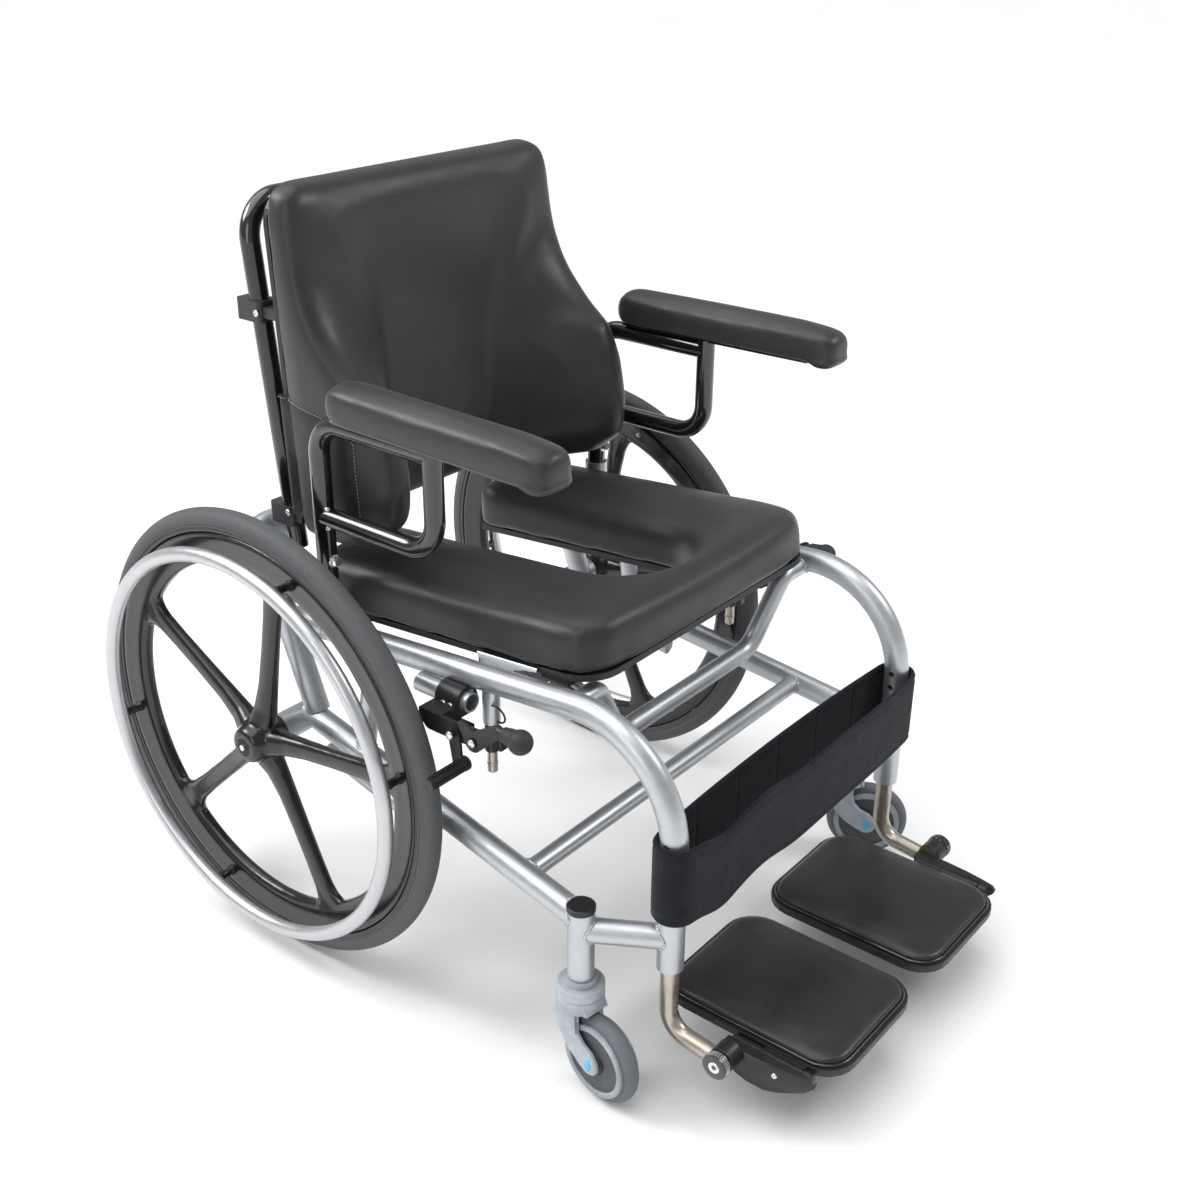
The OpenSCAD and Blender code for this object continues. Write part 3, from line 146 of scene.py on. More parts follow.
def clouded(m, colour, rough, tone, shares, stops, gloss, spread):
    """Faint clouds in tone and gloss; tone and gloss are the scale and detail of their noises."""
    g = Graph(m)
    g.colour(g.ramp(g.noise(*tone), [(at, tuple(c * s for c in colour)) for at, s in zip(stops, shares)]))
    g.roughness(g.spread(g.noise(*gloss), rough + spread[0], rough + spread[1]))
    return g


def satin_metal(name, colour, rough, cloud):
    m = shader(name, colour, rough, metal=0.85)
    g = clouded(m, colour, rough, (26, 4), (1 - cloud, 1 + cloud), (0.3, 0.7), (90, 5), (-0.05, 0.07))
    g.bump(g.noise(2600, 2), 0.00001, 0.3)
    return m


def gloss(name, colour, rough, coat):
    m = shader(name, colour, rough, coat=coat, coat_rough=0.08)
    g = clouded(m, colour, rough, (18, 3), (0.8, 1.35), (0.35, 0.7), (60, 4), (-0.03, 0.06))
    g.bump(g.noise(700, 2), 0.00004, 0.5)
    return m


def moulded(name, colour, rough, grain=0.00005):
    m = shader(name, colour, rough, spec=0.45)
    g = clouded(m, colour, rough, (40, 4), (0.85, 1.2), (0.35, 0.7), (110, 3), (-0.05, 0.06))
    g.bump(g.cells(1500), grain, 0.6)
    return m


def rubber(name, colour, rough=0.7):
    m = shader(name, colour, rough, spec=0.3)
    g = clouded(m, colour, rough, (160, 5), (0.93, 1.07), (0.3, 0.72), (260, 3), (-0.05, 0.05))
    g.bump(g.noise(1400, 3), 0.00006, 0.7)
    return m


def hide_leather(name, colour, rough=0.42, pebble=620):
    """Leatherette: a fine pebble grain, faint clouds in its tone and gloss, and long soft swells."""
    m = shader(name, colour, rough, spec=0.42, sheen=0.08)
    g = clouded(m, colour, rough, (9, 4, 0.6), (0.9, 1.12), (0.3, 0.72), (35, 4), (-0.04, 0.06))
    grain = g.math("ADD", g.cells(pebble, "SMOOTH_F1"), g.math("MULTIPLY", g.noise(pebble * 2.2, 3), 0.6))
    fine = g.bump(grain, 0.00010, 0.55)
    g.bump(g.noise(16, 2, 0.4), 0.0012, 0.12, onto=fine)
    return m


def knit(name, colour):
    """Neoprene faced with a fine jersey: small close ribs and a soft nap."""
    m = shader(name, colour, 0.85, spec=0.2, sheen=0.08)
    g = clouded(m, colour, 0.85, (420, 3), (0.7, 1.5), (0.3, 0.75), (60, 2), (-0.07, 0.07))
    wave = g.t.nodes.new("ShaderNodeTexWave")
    wave.inputs["Scale"].default_value = 260
    wave.inputs["Distortion"].default_value = 1.2
    g.t.links.new(g.co, wave.inputs["Vector"])
    g.bump(g.math("ADD", wave.outputs["Fac"], g.noise(1500, 2)), 0.00016, 0.6)
    return m


silver = satin_metal("silver_tube", (0.50, 0.52, 0.545), 0.38, cloud=0.03)
bright_silver = satin_metal("handrim_silver", (0.54, 0.55, 0.565), 0.34, cloud=0.02)
warm_steel = satin_metal("warm_steel", (0.46, 0.41, 0.36), 0.30, cloud=0.1)
chrome = satin_metal("bright_steel", (0.75, 0.75, 0.74), 0.16, cloud=0.04)
black_gloss = gloss("gloss_black", (0.006, 0.006, 0.007), 0.16, coat=0.8)
wheel_black = gloss("wheel_black", (0.005, 0.005, 0.006), 0.22, coat=0.2)
black_plastic = moulded("black_plastic", (0.012, 0.012, 0.013), 0.38)
clamp_black = moulded("clamp_black", (0.030, 0.030, 0.032), 0.48)
board_black = moulded("board_black", (0.016, 0.016, 0.017), 0.45)
axle_black = moulded("axle_black", (0.009, 0.009, 0.010), 0.6)
caster_grey = moulded("caster_grey", (0.36, 0.40, 0.44), 0.4, grain=0.00003)
cover_grey = moulded("cover_grey", (0.060, 0.066, 0.074), 0.5)
ring_grey = moulded("ring_grey", (0.30, 0.33, 0.36), 0.5)
accent_blue = moulded("accent_blue", (0.10, 0.42, 0.66), 0.45)
tyre_grey = rubber("tyre_grey", (0.085, 0.087, 0.092), 0.62)
caster_rubber = rubber("caster_rubber", (0.13, 0.14, 0.155), 0.6)
grip_rubber = rubber("grip_rubber", (0.030, 0.031, 0.034), 0.55)
leather = hide_leather("leatherette", (0.019, 0.0195, 0.022), 0.40)
foot_leather = hide_leather("foot_leatherette", (0.017, 0.0155, 0.0165), 0.33)
side_cloth = hide_leather("side_leatherette", (0.007, 0.007, 0.008), 0.5, 900)
neoprene = knit("neoprene", (0.0060, 0.0072, 0.0115))
thread = rubber("tan_thread", (0.30, 0.27, 0.22), 0.8)

LOOKS = (
    (silver, "side_tube lower_tube caster_head rear_arch drop_cross_tube low_cross_tube"),
    (bright_silver, "handrim"), (warm_steel, "footrest_tube"), (chrome, "axle_button foot_button"),
    (board_black, "seat_board"), (axle_black, "axle"), (black_gloss, "back_hoop arm_frame"),
    (clamp_black, "back_clamps_upper back_clamps_lower"), (wheel_black, "wheel"), (tyre_grey, "tyre"),
    (black_plastic, "head_cap backrest_shell brake_clamp brake_lever brake_arm foot_hinge footplate"),
    (grip_rubber, "brake_grip"), (caster_grey, "caster_fork"), (cover_grey, "caster_wheel"),
    (caster_rubber, "caster_tyre"),
)
LOOK_OF = {name: material for material, names in LOOKS for name in names.split()}


def plain_name(node):
    for tail in ("_right", "_left"):
        if node.endswith(tail):
            return node[: -len(tail)]
    return node


def dress(mesh, material):
    mesh.materials.clear()
    mesh.materials.append(material)


for node_name, node_obj in NODES.items():
    look = LOOK_OF.get(plain_name(node_name))
    if look is not None:
        dress(node_obj.data, look)

# Mesh helpers


def linked(name, data):
    o = bpy.data.objects.new(name, data)
    bpy.context.scene.collection.objects.link(o)
    return o


def new_piece(name, mesh, material, body):
    o = linked(name, mesh)
    dress(mesh, material)
    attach(o, body)
    return o


def shade_smooth(me):
    for p in me.polygons:
        p.use_smooth = True


def mesh_from(verts, faces):
    me = bpy.data.meshes.new("piece")
    me.from_pydata([tuple(v) for v in verts], [], faces)
    me.validate()
    bm = bmesh.new()
    bm.from_mesh(me)
    bmesh.ops.recalc_face_normals(bm, faces=bm.faces)
    bm.to_mesh(me)
    bm.free()
    shade_smooth(me)
    return me


def evaluated(o):
    dg = bpy.context.evaluated_depsgraph_get()
    return bpy.data.meshes.new_from_object(o.evaluated_get(dg))


def apply_modifiers(o):
    me = evaluated(o)
    o.modifiers.clear()
    old = o.data
    o.data = me
    bpy.data.meshes.remove(old)


def coords(me):
    co = np.zeros(len(me.vertices) * 3)
    me.vertices.foreach_get("co", co)
    return co.reshape(-1, 3)


def set_coords(me, co):
    me.vertices.foreach_set("co", np.asarray(co, float).ravel())
    me.update()


def normals(me):
    n = np.zeros(len(me.vertices) * 3)
    me.vertices.foreach_get("normal", n)
    return n.reshape(-1, 3)


def merged_copy(name, node):
    """A copy of a CAD node with its doubled points joined."""
    me = NODES[node].data.copy()
    bm = bmesh.new()
    bm.from_mesh(me)
    bmesh.ops.remove_doubles(bm, verts=bm.verts, dist=0.00002)
    bm.to_mesh(me)
    bm.free()
    return linked(name, me)


def remesh(o, voxel, smooth_rounds):
    r = o.modifiers.new("remesh", "REMESH")
    r.mode = "VOXEL"
    r.voxel_size = voxel
    s = o.modifiers.new("smooth", "SMOOTH")
    s.factor = 0.5
    s.iterations = smooth_rounds
    apply_modifiers(o)


SIM_FRAMES = 16
EVEN_ROUNDS = 45


def evened(me, field):
    """Draws the value at each point to the mean of its neighbours, so that a tight cover has no creases."""
    ends = np.zeros(len(me.edges) * 2, dtype=int)
    me.edges.foreach_get("vertices", ends)
    a, b = ends.reshape(-1, 2).T
    count = np.bincount(np.concatenate((a, b)), minlength=len(field))[:, None]
    for _ in range(EVEN_ROUNDS):
        total = np.zeros_like(field)
        for k in range(3):
            total[:, k] = np.bincount(a, field[b, k], len(field)) + np.bincount(b, field[a, k], len(field))
        field = (field + total / np.maximum(count, 1)) / 2
    return field


def inflate(o, pinned, pressure, cap, shrink):
    """Cloth under pressure, held at the pinned points, with no point moved further than cap."""
    me = o.data
    co = coords(me)
    hold = pinned(co)
    co = co - normals(me) * shrink * (1 - hold)[:, None]
    set_coords(me, co)
    group = o.vertex_groups.new(name="hold")
    for i in np.nonzero(hold > 0.01)[0]:
        group.add([int(i)], float(hold[i]), "REPLACE")
    c = o.modifiers.new("cloth", "CLOTH")
    st = c.settings
    st.quality = 5
    st.mass = 0.35
    st.tension_stiffness = st.compression_stiffness = 22
    st.shear_stiffness = 12
    st.bending_stiffness = 2.5
    st.use_pressure = True
    st.uniform_pressure_force = pressure
    st.vertex_group_mass = "hold"
    st.pin_stiffness = 8
    st.effector_weights.gravity = 0
    c.collision_settings.use_collision = False
    c.point_cache.frame_start = 1
    c.point_cache.frame_end = SIM_FRAMES
    for f in range(1, SIM_FRAMES + 1):
        bpy.context.scene.frame_set(f)
    swollen = coords(evaluated(o))
    o.modifiers.clear()
    o.vertex_groups.clear()
    move = evened(me, swollen - co)
    length = np.linalg.norm(move, axis=1)
    move *= np.minimum(1, cap / np.maximum(length, 1e-9))[:, None]
    set_coords(me, co + move)
    bpy.context.scene.frame_set(1)


def finish_soft(o, material, body, node):
    o.modifiers.new("fine", "SUBSURF").levels = 1
    o.modifiers["fine"].render_levels = 1
    apply_modifiers(o)
    dress(o.data, material)
    shade_smooth(o.data)
    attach(o, body)
    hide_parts(node)


def ramp_up(value, low, high):
    """0 up to low, 1 from high on, and a smooth way between."""
    t = np.clip((value - low) / (high - low), 0, 1)
    return t * t * (3 - 2 * t)


# Small shapes are gathered in a Shape, in the axle's frame in millimetres


def axes_for(direction, hint=(0, 0, 1)):
    z = Vector(direction).normalized()
    h = Vector(hint)
    if abs(z.dot(h)) > 0.95:
        h = Vector((0, 1, 0))
    x = (h - z * z.dot(h)).normalized()
    return x, z.cross(x), z


def placed(origin, direction, hint=(0, 0, 1)):
    """A function that takes local points with +Z along direction to the axle's frame."""
    x, y, z = axes_for(direction, hint)
    o = Vector(origin)
    return lambda p: o + x * p[0] + y * p[1] + z * p[2]


def grid_faces(rows, sides, closed=False):
    """Faces between rows of points that each run round in a ring; closed joins the last row to the first."""
    faces = []
    for i in range(rows if closed else rows - 1):
        k = (i + 1) % rows
        for j in range(sides):
            m = (j + 1) % sides
            faces.append((i * sides + j, i * sides + m, k * sides + m, k * sides + j))
    return faces


def capped_faces(rows, sides):
    end = (rows - 1) * sides
    return grid_faces(rows, sides) + [tuple(range(sides - 1, -1, -1)), tuple(range(end, end + sides))]


def outboard(sd, x, y, z):
    """placed() with local Z pointing away from the chair's middle."""
    return placed((sd * x, y, z), (sd, 0, 0))


class Shape:
    def __init__(self):
        self.v, self.f = [], []

    def add(self, verts, faces):
        n = len(self.v)
        self.v += [at(*p) for p in verts]
        self.f += [tuple(i + n for i in f) for f in faces]
        return self

    def lathe(self, place, profile, steps=40):
        """Turns (radius, height) points about the local Z, and closes an end that lies on the axis."""
        verts, faces, rings = [], [], []
        for radius, height in profile:
            if radius < 1e-6:
                rings.append([len(verts)] * steps)
                verts.append(place((0, 0, height)))
            else:
                rings.append(list(range(len(verts), len(verts) + steps)))
                for i in range(steps):
                    t = 2 * math.pi * i / steps
                    verts.append(place((radius * math.cos(t), radius * math.sin(t), height)))
        for a, b in zip(rings, rings[1:]):
            for i in range(steps):
                j = (i + 1) % steps
                f = []
                for k in (a[i], a[j], b[j], b[i]):
                    if k not in f:
                        f.append(k)
                if len(f) > 2:
                    faces.append(tuple(f))
        return self.add(verts, faces)

    def ring(self, place, radius, section, steps=64, sides=10):
        """A ring of round section about the local Z."""
        verts = []
        for i in range(steps):
            t = 2 * math.pi * i / steps
            for j in range(sides):
                a = 2 * math.pi * j / sides
                d = radius + section * math.cos(a)
                verts.append(place((d * math.cos(t), d * math.sin(t), section * math.sin(a))))
        return self.add(verts, grid_faces(steps, sides, closed=True))

    def tube(self, points, radius, sides=12, closed=False):
        """A round rod along points; radius is a number or one for each point."""
        pts = [Vector(p) for p in points]
        n = len(pts)
        rad = radius if hasattr(radius, "__len__") else [radius] * n
        verts, x = [], None
        for i, p in enumerate(pts):
            a = pts[(i - 1) % n] if closed or i else p
            b = pts[(i + 1) % n] if closed or i < n - 1 else p
            d = (b - a).normalized()
            if x is None:
                x = axes_for(d)[0]
            x = (x - d * d.dot(x)).normalized()
            y = d.cross(x)
            for j in range(sides):
                t = 2 * math.pi * j / sides
                verts.append(p + (x * math.cos(t) + y * math.sin(t)) * rad[i])
        return self.add(verts, grid_faces(n, sides, True) if closed else capped_faces(n, sides))

    def slab(self, place, outline, low, high, bevel=0.6):
        """A plate of the outline in local X and Y from low to high, with its edges broken."""
        n = len(outline)
        centre = [sum(p[k] for p in outline) / n for k in (0, 1)]

        def drawn_in(by):
            out = []
            for i in range(n):
                a, b, c = outline[i - 1], outline[i], outline[(i + 1) % n]
                tx, ty = c[0] - a[0], c[1] - a[1]
                size = math.hypot(tx, ty) or 1
                nx, ny = ty / size, -tx / size
                if nx * (b[0] - centre[0]) + ny * (b[1] - centre[1]) < 0:
                    nx, ny = -nx, -ny
                out.append((b[0] - nx * by, b[1] - ny * by))
            return out

        levels = [(bevel, low), (0, low + bevel), (0, high - bevel), (bevel, high)]
        verts = []
        for by, z in levels:
            verts += [place((x, y, z)) for x, y in (drawn_in(by) if by else outline)]
        return self.add(verts, capped_faces(len(levels), n))

    def screw(self, place, r, h, socket=0.45, steps=28):
        """A round screw head with a sunk socket."""
        s, d = r * socket, h * 0.6
        return self.lathe(place, [(0, h - d), (s, h - d), (s * 1.05, h - 0.1), (s * 1.2, h), (r * 0.78, h),
                                  (r, h * 0.62), (r, 0)], steps)

    def piece(self, name, material, body, slot, smooth_angle=40):
        me = mesh_from(self.v, self.f)
        o = new_piece(name, me, material, body)
        me.set_sharp_from_angle(angle=math.radians(smooth_angle))
        return o


def outline_rounded(x0, x1, y0, y1, r, steps=5):
    """The outline of a rectangle with corners of radius r."""
    out = []
    for cx, cy, a0 in ((x1 - r, y1 - r, 0), (x0 + r, y1 - r, 90), (x0 + r, y0 + r, 180), (x1 - r, y0 + r, 270)):
        for i in range(steps + 1):
            t = math.radians(a0 + 90 * i / steps)
            out.append((cx + r * math.cos(t), cy + r * math.sin(t)))
    return out


BEAD_R, BEAD_OUT, BEAD_STEPS, BEAD_RIPPLE, RIPPLE_STEPS = 1.9, 0.3, 90, 0.16, 5


def weld(shape, start, direction, r, line_at, line_dir):
    """A bead where a round branch, going from start along direction, meets a main tube."""
    x, y, d = axes_for(direction)
    k = Vector(line_dir).normalized()
    pts, sizes = [], []
    for i in range(BEAD_STEPS):
        t = 2 * math.pi * i / BEAD_STEPS
        p = Vector(start) + (x * math.cos(t) + y * math.sin(t)) * r
        w = p - Vector(line_at)
        w0, d0 = w - k * w.dot(k), d - k * d.dot(k)
        a, b, c = d0.dot(d0), 2 * w0.dot(d0), w0.dot(w0) - (TUBE_R + BEAD_OUT) ** 2
        s = (-b - math.sqrt(max(b * b - 4 * a * c, 0))) / (2 * a)
        pts.append(p + d * s)
        sizes.append(BEAD_R * (1 + BEAD_RIPPLE * math.sin(i * 2 * math.pi / RIPPLE_STEPS)))
    shape.tube(pts, sizes, sides=8, closed=True)


# Backrest cushion: held along its flat back, whose plane leans through BACK_AT (depth and height in metres)
back = merged_copy("backrest_cushion", "backrest_pad")
remesh(back, voxel=0.007, smooth_rounds=24)
BACK_AT = ((21 + CENTRE_Y) / 1000, 0.54)


def back_hold(co):
    depth = BACK_AT[0] + (co[:, 2] - BACK_AT[1]) * BACK_LEAN - co[:, 1]
    return 1 - ramp_up(depth, 0.002, 0.016)


inflate(back, back_hold, pressure=3.0, cap=0.006, shrink=0.003)
finish_soft(back, leather, "frame", "backrest_pad")

# Seat cushion: held along its underside, on the seat board's slope
seat = merged_copy("seat_cushion", "seat_pad")
remesh(seat, voxel=0.007, smooth_rounds=14)
SEAT_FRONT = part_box("seat_pad")[0].y
SEAT_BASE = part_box("seat_board")[1].z - 0.0005


def seat_hold(co):
    height = co[:, 2] - (SEAT_BASE - (co[:, 1] - SEAT_FRONT) * SEAT_SLOPE)
    return 1 - ramp_up(height, 0.004, 0.022)


inflate(seat, seat_hold, pressure=3.5, cap=0.006, shrink=0.003)
finish_soft(seat, leather, "seat", "seat_pad")

# Armrest pads and footplate pads: one of each is made and mirrored


def mirrored(source, name):
    o = source.copy()
    o.data = source.data.copy()
    o.name = name
    bpy.context.scene.collection.objects.link(o)
    me = o.data
    me.transform(Matrix.Scale(-1, 4, (1, 0, 0)))
    me.flip_normals()
    return o


ARM_BASE, ARM_THIN, ARM_NOSE_THIN, ARM_NOSE_LENGTH = 0.740, 0.90, 0.82, 0.075
arm = merged_copy("arm_cushion_left", "arm_pad_left")
remesh(arm, voxel=0.0035, smooth_rounds=26)
arm_co = coords(arm.data)
arm_nose = 1 - ramp_up(arm_co[:, 1], arm_co[:, 1].min(), arm_co[:, 1].min() + ARM_NOSE_LENGTH)
arm_thin = ARM_THIN * (1 - arm_nose) + ARM_NOSE_THIN * arm_nose
arm_co[:, 2] = ARM_BASE + (arm_co[:, 2] - ARM_BASE) * np.where(arm_co[:, 2] > ARM_BASE, arm_thin, 1)
set_coords(arm.data, arm_co)


def arm_hold(co):
    return 1 - ramp_up(co[:, 2], ARM_BASE + 0.001, ARM_BASE + 0.008)


inflate(arm, arm_hold, pressure=3.0, cap=0.004, shrink=0.002)
arm_right = mirrored(arm, "arm_cushion_right")
finish_soft(arm, leather, "armrest_left", "arm_pad_left")
finish_soft(arm_right, leather, "armrest_right", "arm_pad_right")

foot = merged_copy("foot_cushion_left", "foot_pad_left")
remesh(foot, voxel=0.0035, smooth_rounds=6)
FOOT_BASE = 0.0993


def foot_hold(co):
    return 1 - ramp_up(co[:, 2], FOOT_BASE + 0.001, FOOT_BASE + 0.005)


inflate(foot, foot_hold, pressure=3.0, cap=0.004, shrink=0.001)
foot_right = mirrored(foot, "foot_cushion_right")
finish_soft(foot, foot_leather, "footplate_left", "foot_pad_left")
finish_soft(foot_right, foot_leather, "footplate_right", "foot_pad_right")

# Calf strap: a padded band round both legs, sewn across at intervals and bound along its edges
STRAP_T, STRAP_LOW, STRAP_H = 6.0, 252.0, 101.0
STRAP_GAP, STRAP_OUT, STRAP_BOW, STRAP_SAG = 0.6, 4.0, 5.0, 4.0
STRAP_STEPS, STRAP_ROWS, PATH_STEPS = 560, 26, 4000
STRAP_SEAMS, SEAM_W = (-176, -88, 0, 88, 176), 2.2
STRAP_RIM, STITCH_IN, STITCH_W = 2.0, 8.0, 1.6
# The front layer's edges rise and dip in one long wave: place across, half width and height of each swell
STRAP_WAVES = ((-192, 34, -9), (-104, 46, 7), (64, 84, 3))


def strap_line(turn, grow):
    """A point of the band's path: two straight runs and an arc round each leg, for a turn from 0 to 2 pi."""
    r = TUBE_R + STRAP_GAP + STRAP_OUT + grow
    end = LEG_X - STRAP_OUT
    share = turn / (math.pi / 2)
    part, u = int(share) % 4, share % 1
    if part % 2 == 0:
        a = math.pi * (u - 0.5)
        x, y = end + r * math.cos(a), -r * math.sin(a)
    else:
        x, y = end - 2 * end * u, -r
    if part >= 2:
        x, y = -x, -y
    mid = 1 - min(1, (x / LEG_X) ** 2)
    return (x, LEG_Y + y + math.copysign(STRAP_BOW * mid, y))


def strap_edges(x, y):
    """Lowest and highest level of the band at a place on its line."""
    mid = 1 - min(1, (x / LEG_X) ** 2)
    if y > LEG_Y:
        lift = STRAP_SAG * mid
    else:
        lift = -STRAP_SAG * mid + sum(h * math.exp(-((x - c) / w) ** 2) for c, w, h in STRAP_WAVES)
    return STRAP_LOW + lift, STRAP_LOW + STRAP_H + lift


def band(steps):
    """Turns that part the path into equal runs, and the path's length."""
    turns = [2 * math.pi * i / PATH_STEPS for i in range(PATH_STEPS)]
    pts = [strap_line(t, STRAP_T / 2) for t in turns]
    run = [0.0]
    for a, b in zip(pts, pts[1:] + pts[:1]):
        run.append(run[-1] + math.dist(a, b))
    out, k = [], 0
    for i in range(steps):
        want = run[-1] * i / steps
        while run[k + 1] < want:
            k += 1
        share = (want - run[k]) / max(run[k + 1] - run[k], 1e-9)
        out.append(turns[k] + share * 2 * math.pi / PATH_STEPS)
    return out, run[-1]


def strap_mesh():
    stations, length = band(STRAP_STEPS)
    verts = []
    for turn in stations:
        inner, outer = strap_line(turn, 0), strap_line(turn, STRAP_T)
        low, high = strap_edges(*inner)
        seam = 0
        if inner[1] > LEG_Y:
            seam = max(math.exp(-((inner[0] - x) / SEAM_W) ** 2) for x in STRAP_SEAMS)
        for side in (0, 1):
            for j in range(STRAP_ROWS):
                v = j / (STRAP_ROWS - 1)
                v = v if side == 0 else 1 - v
                edge = min(v, 1 - v) * (high - low)
                rim = min(1, edge / STRAP_RIM) ** 0.5
                stitch = math.exp(-((edge - STITCH_IN) / STITCH_W) ** 2)
                puff = rim * (1 - 0.7 * stitch) * (1 - 0.5 * seam)
                d = 0.5 + (0.5 if side == 0 else -0.5) * (0.35 + 0.65 * puff)
                x = inner[0] + (outer[0] - inner[0]) * d
                y = inner[1] + (outer[1] - inner[1]) * d
                verts.append(at(x, y, low + (high - low) * v))
    return mesh_from(verts, grid_faces(STRAP_STEPS, STRAP_ROWS * 2, closed=True)), length


strap_me, strap_length = strap_mesh()
strap = new_piece("calf_band", strap_me, neoprene, "frame")
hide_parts("calf_strap")

# Rear wheels: one moulded form with filleted spokes stands for the CAD wheel
WHEEL_R, WHEEL_X, RIM_OUT, RIM_IN, TYRE_R = 305.0, 338.0, 278.0, 236.0, 14.0
HUB_OUT, SPOKES, FIRST_SPOKE = 37.0, 5, 47.0
BORE_R, RECESS_R, RECESS_FLOOR = 6.45, 11.7, 29.0
# Radius, half width, half thickness and outboard shift of each station of a spoke
SPOKE_STATIONS = [
    (12, 17, 17, 9), (30, 17.5, 15.5, 6), (48, 15, 12.5, 2.5), (80, 13.2, 10.5, 0.5), (130, 12.8, 9.2, 0),
    (180, 13.4, 8.6, 0), (212, 15, 8.4, 0), (226, 19, 8.6, 0), (236, 28, 9, 0), (244, 38, 9.5, 0),
]
# Radius and height of the half section of rim and hub
RIM_SECTION = [
    (RIM_OUT - 1, -12), (RIM_OUT - 0.5, 0), (RIM_OUT - 1, 12), (RIM_OUT - 5, 13.4), (268, 12.6), (258, 11.4),
    (248, 10.6), (241, 9.2), (RIM_IN, 5.5), (RIM_IN - 1, 0), (RIM_IN, -5.5), (241, -9.2), (248, -10.6),
    (258, -11.4), (268, -12.6), (RIM_OUT - 5, -13.4), (RIM_OUT - 1, -12),
]
HUB_SECTION = [
    (0, -19.5), (24, -19.5), (27, -17), (31, -4), (32, 4), (29, 16), (25.5, 27), (22.5, 34),
    (19, HUB_OUT - 0.6), (14, HUB_OUT - 0.4), (0, HUB_OUT - 0.4),
]
# A power below 1 makes a spoke's oval section squarer
SQUARENESS = 0.8


def on_wheel(sd, swing=0.0):
    """Local Z runs outboard along the axle; local X points down at swing 0, as in the CAD."""
    s, c = math.sin(math.radians(swing)), math.cos(math.radians(swing))

    def place(p):
        x, y = p[0] * c - p[1] * s, p[0] * s + p[1] * c
        return Vector((sd * (WHEEL_X + p[2]), y, WHEEL_R - x))

    return place


def spoke(shape, place):
    """A spoke from the hub to the rim: oval in section, deep at its root and broad at its tip."""
    sides, verts = 28, []
    for radius, half_w, half_t, lift in SPOKE_STATIONS:
        for j in range(sides):
            t = 2 * math.pi * j / sides
            c, s = (math.copysign(abs(v) ** SQUARENESS, v) for v in (math.cos(t), math.sin(t)))
            verts.append(place((radius, half_w * c, lift + half_t * s)))
    shape.add(verts, capped_faces(len(SPOKE_STATIONS), sides))


def cut_by(o, cutter):
    m = o.modifiers.new("cut", "BOOLEAN")
    m.operation = "DIFFERENCE"
    m.object = cutter
    m.solver = "EXACT"
    apply_modifiers(o)
    bpy.data.objects.remove(cutter)


def loose(name, shape):
    return linked(name, mesh_from(shape.v, shape.f))


def wheel_mesh():
    s = Shape()
    place = on_wheel(1)
    s.lathe(place, RIM_SECTION, 240)
    s.lathe(place, HUB_SECTION, 96)
    for i in range(SPOKES):
        spoke(s, on_wheel(1, FIRST_SPOKE + i * 360 / SPOKES))
    o = loose("moulded_wheel_left", s)
    remesh(o, voxel=0.0024, smooth_rounds=7)
    for name, r, low, high in (("recess", RECESS_R, RECESS_FLOOR, 45), ("bore", BORE_R, -30, 60)):
        cut_by(o, loose(name, Shape().lathe(place, [(0, low), (r, low), (r, high), (0, high)], 64)))
    return o


wheel_left = wheel_mesh()
for side_name, w in (("right", mirrored(wheel_left, "moulded_wheel_right")), ("left", wheel_left)):
    dress(w.data, wheel_black)
    shade_smooth(w.data)
    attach(w, "rear_wheel_" + side_name)
    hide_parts("wheel_" + side_name)

# Handrims: a moulded post under each fixing and a screw on the rim's inner face
STANDOFFS, FIRST_STANDOFF, HANDRIM_R, SCREW_Z = 6, 20.0, 259.0, -10.6
POST_SECTION = [(0, 8), (7.4, 8), (7.2, 13), (5.6, 16), (5.2, 24), (6.0, 29), (5.0, 34), (0, 34)]
RIM_SCREW = [(0, 1.6), (1.4, 1.6), (1.6, 2.6), (3.4, 2.2), (4.2, 0.6), (4.2, 0)]
for side_name, sd in SIDES:
    posts, screws = Shape(), Shape()
    for i in range(STANDOFFS):
        place = on_wheel(sd, FIRST_STANDOFF + i * 360 / STANDOFFS)
        posts.lathe(lambda p, q=place: q((HANDRIM_R + p[0], p[1], p[2])), POST_SECTION, 20)
        screws.lathe(lambda p, q=place: q((HANDRIM_R + p[0], p[1], SCREW_Z - p[2])), RIM_SCREW, 18)
    posts.piece("handrim_posts_" + side_name, wheel_black, "rear_wheel_" + side_name, "wheel_black")
    screws.piece("handrim_screws_" + side_name, chrome, "rear_wheel_" + side_name, "button_steel")

# Tyres: the CAD tyre stays under a tread of fine ribs and two moulded lines on each wall
TREAD_RIBS, RIB_R, RIB_SINK = (-6.4, -3.8, -1.3, 1.3, 3.8, 6.4), 0.75, 0.55
# Offset from the wheel's middle, ring radius and section radius of each line on a wall
WALL_LINES = ((12.6, WHEEL_R - 20.5, 1.2), (11.8, RIM_OUT + 1.0, 1.0))
for side_name, sd in SIDES:
    ribs = Shape()
    place = on_wheel(sd)
    rings = [(z, WHEEL_R - TYRE_R + math.sqrt(TYRE_R * TYRE_R - z * z) - RIB_SINK, RIB_R) for z in TREAD_RIBS]
    rings += [(side * z, radius, r) for side in (-1, 1) for z, radius, r in WALL_LINES]
    for z, radius, r in rings:
        ribs.ring(lambda p, z=z: place((p[0], p[1], p[2] + z)), radius, r, 180, 8)
    ribs.piece("tyre_ribs_" + side_name, tyre_grey, "rear_wheel_" + side_name, "tyre")

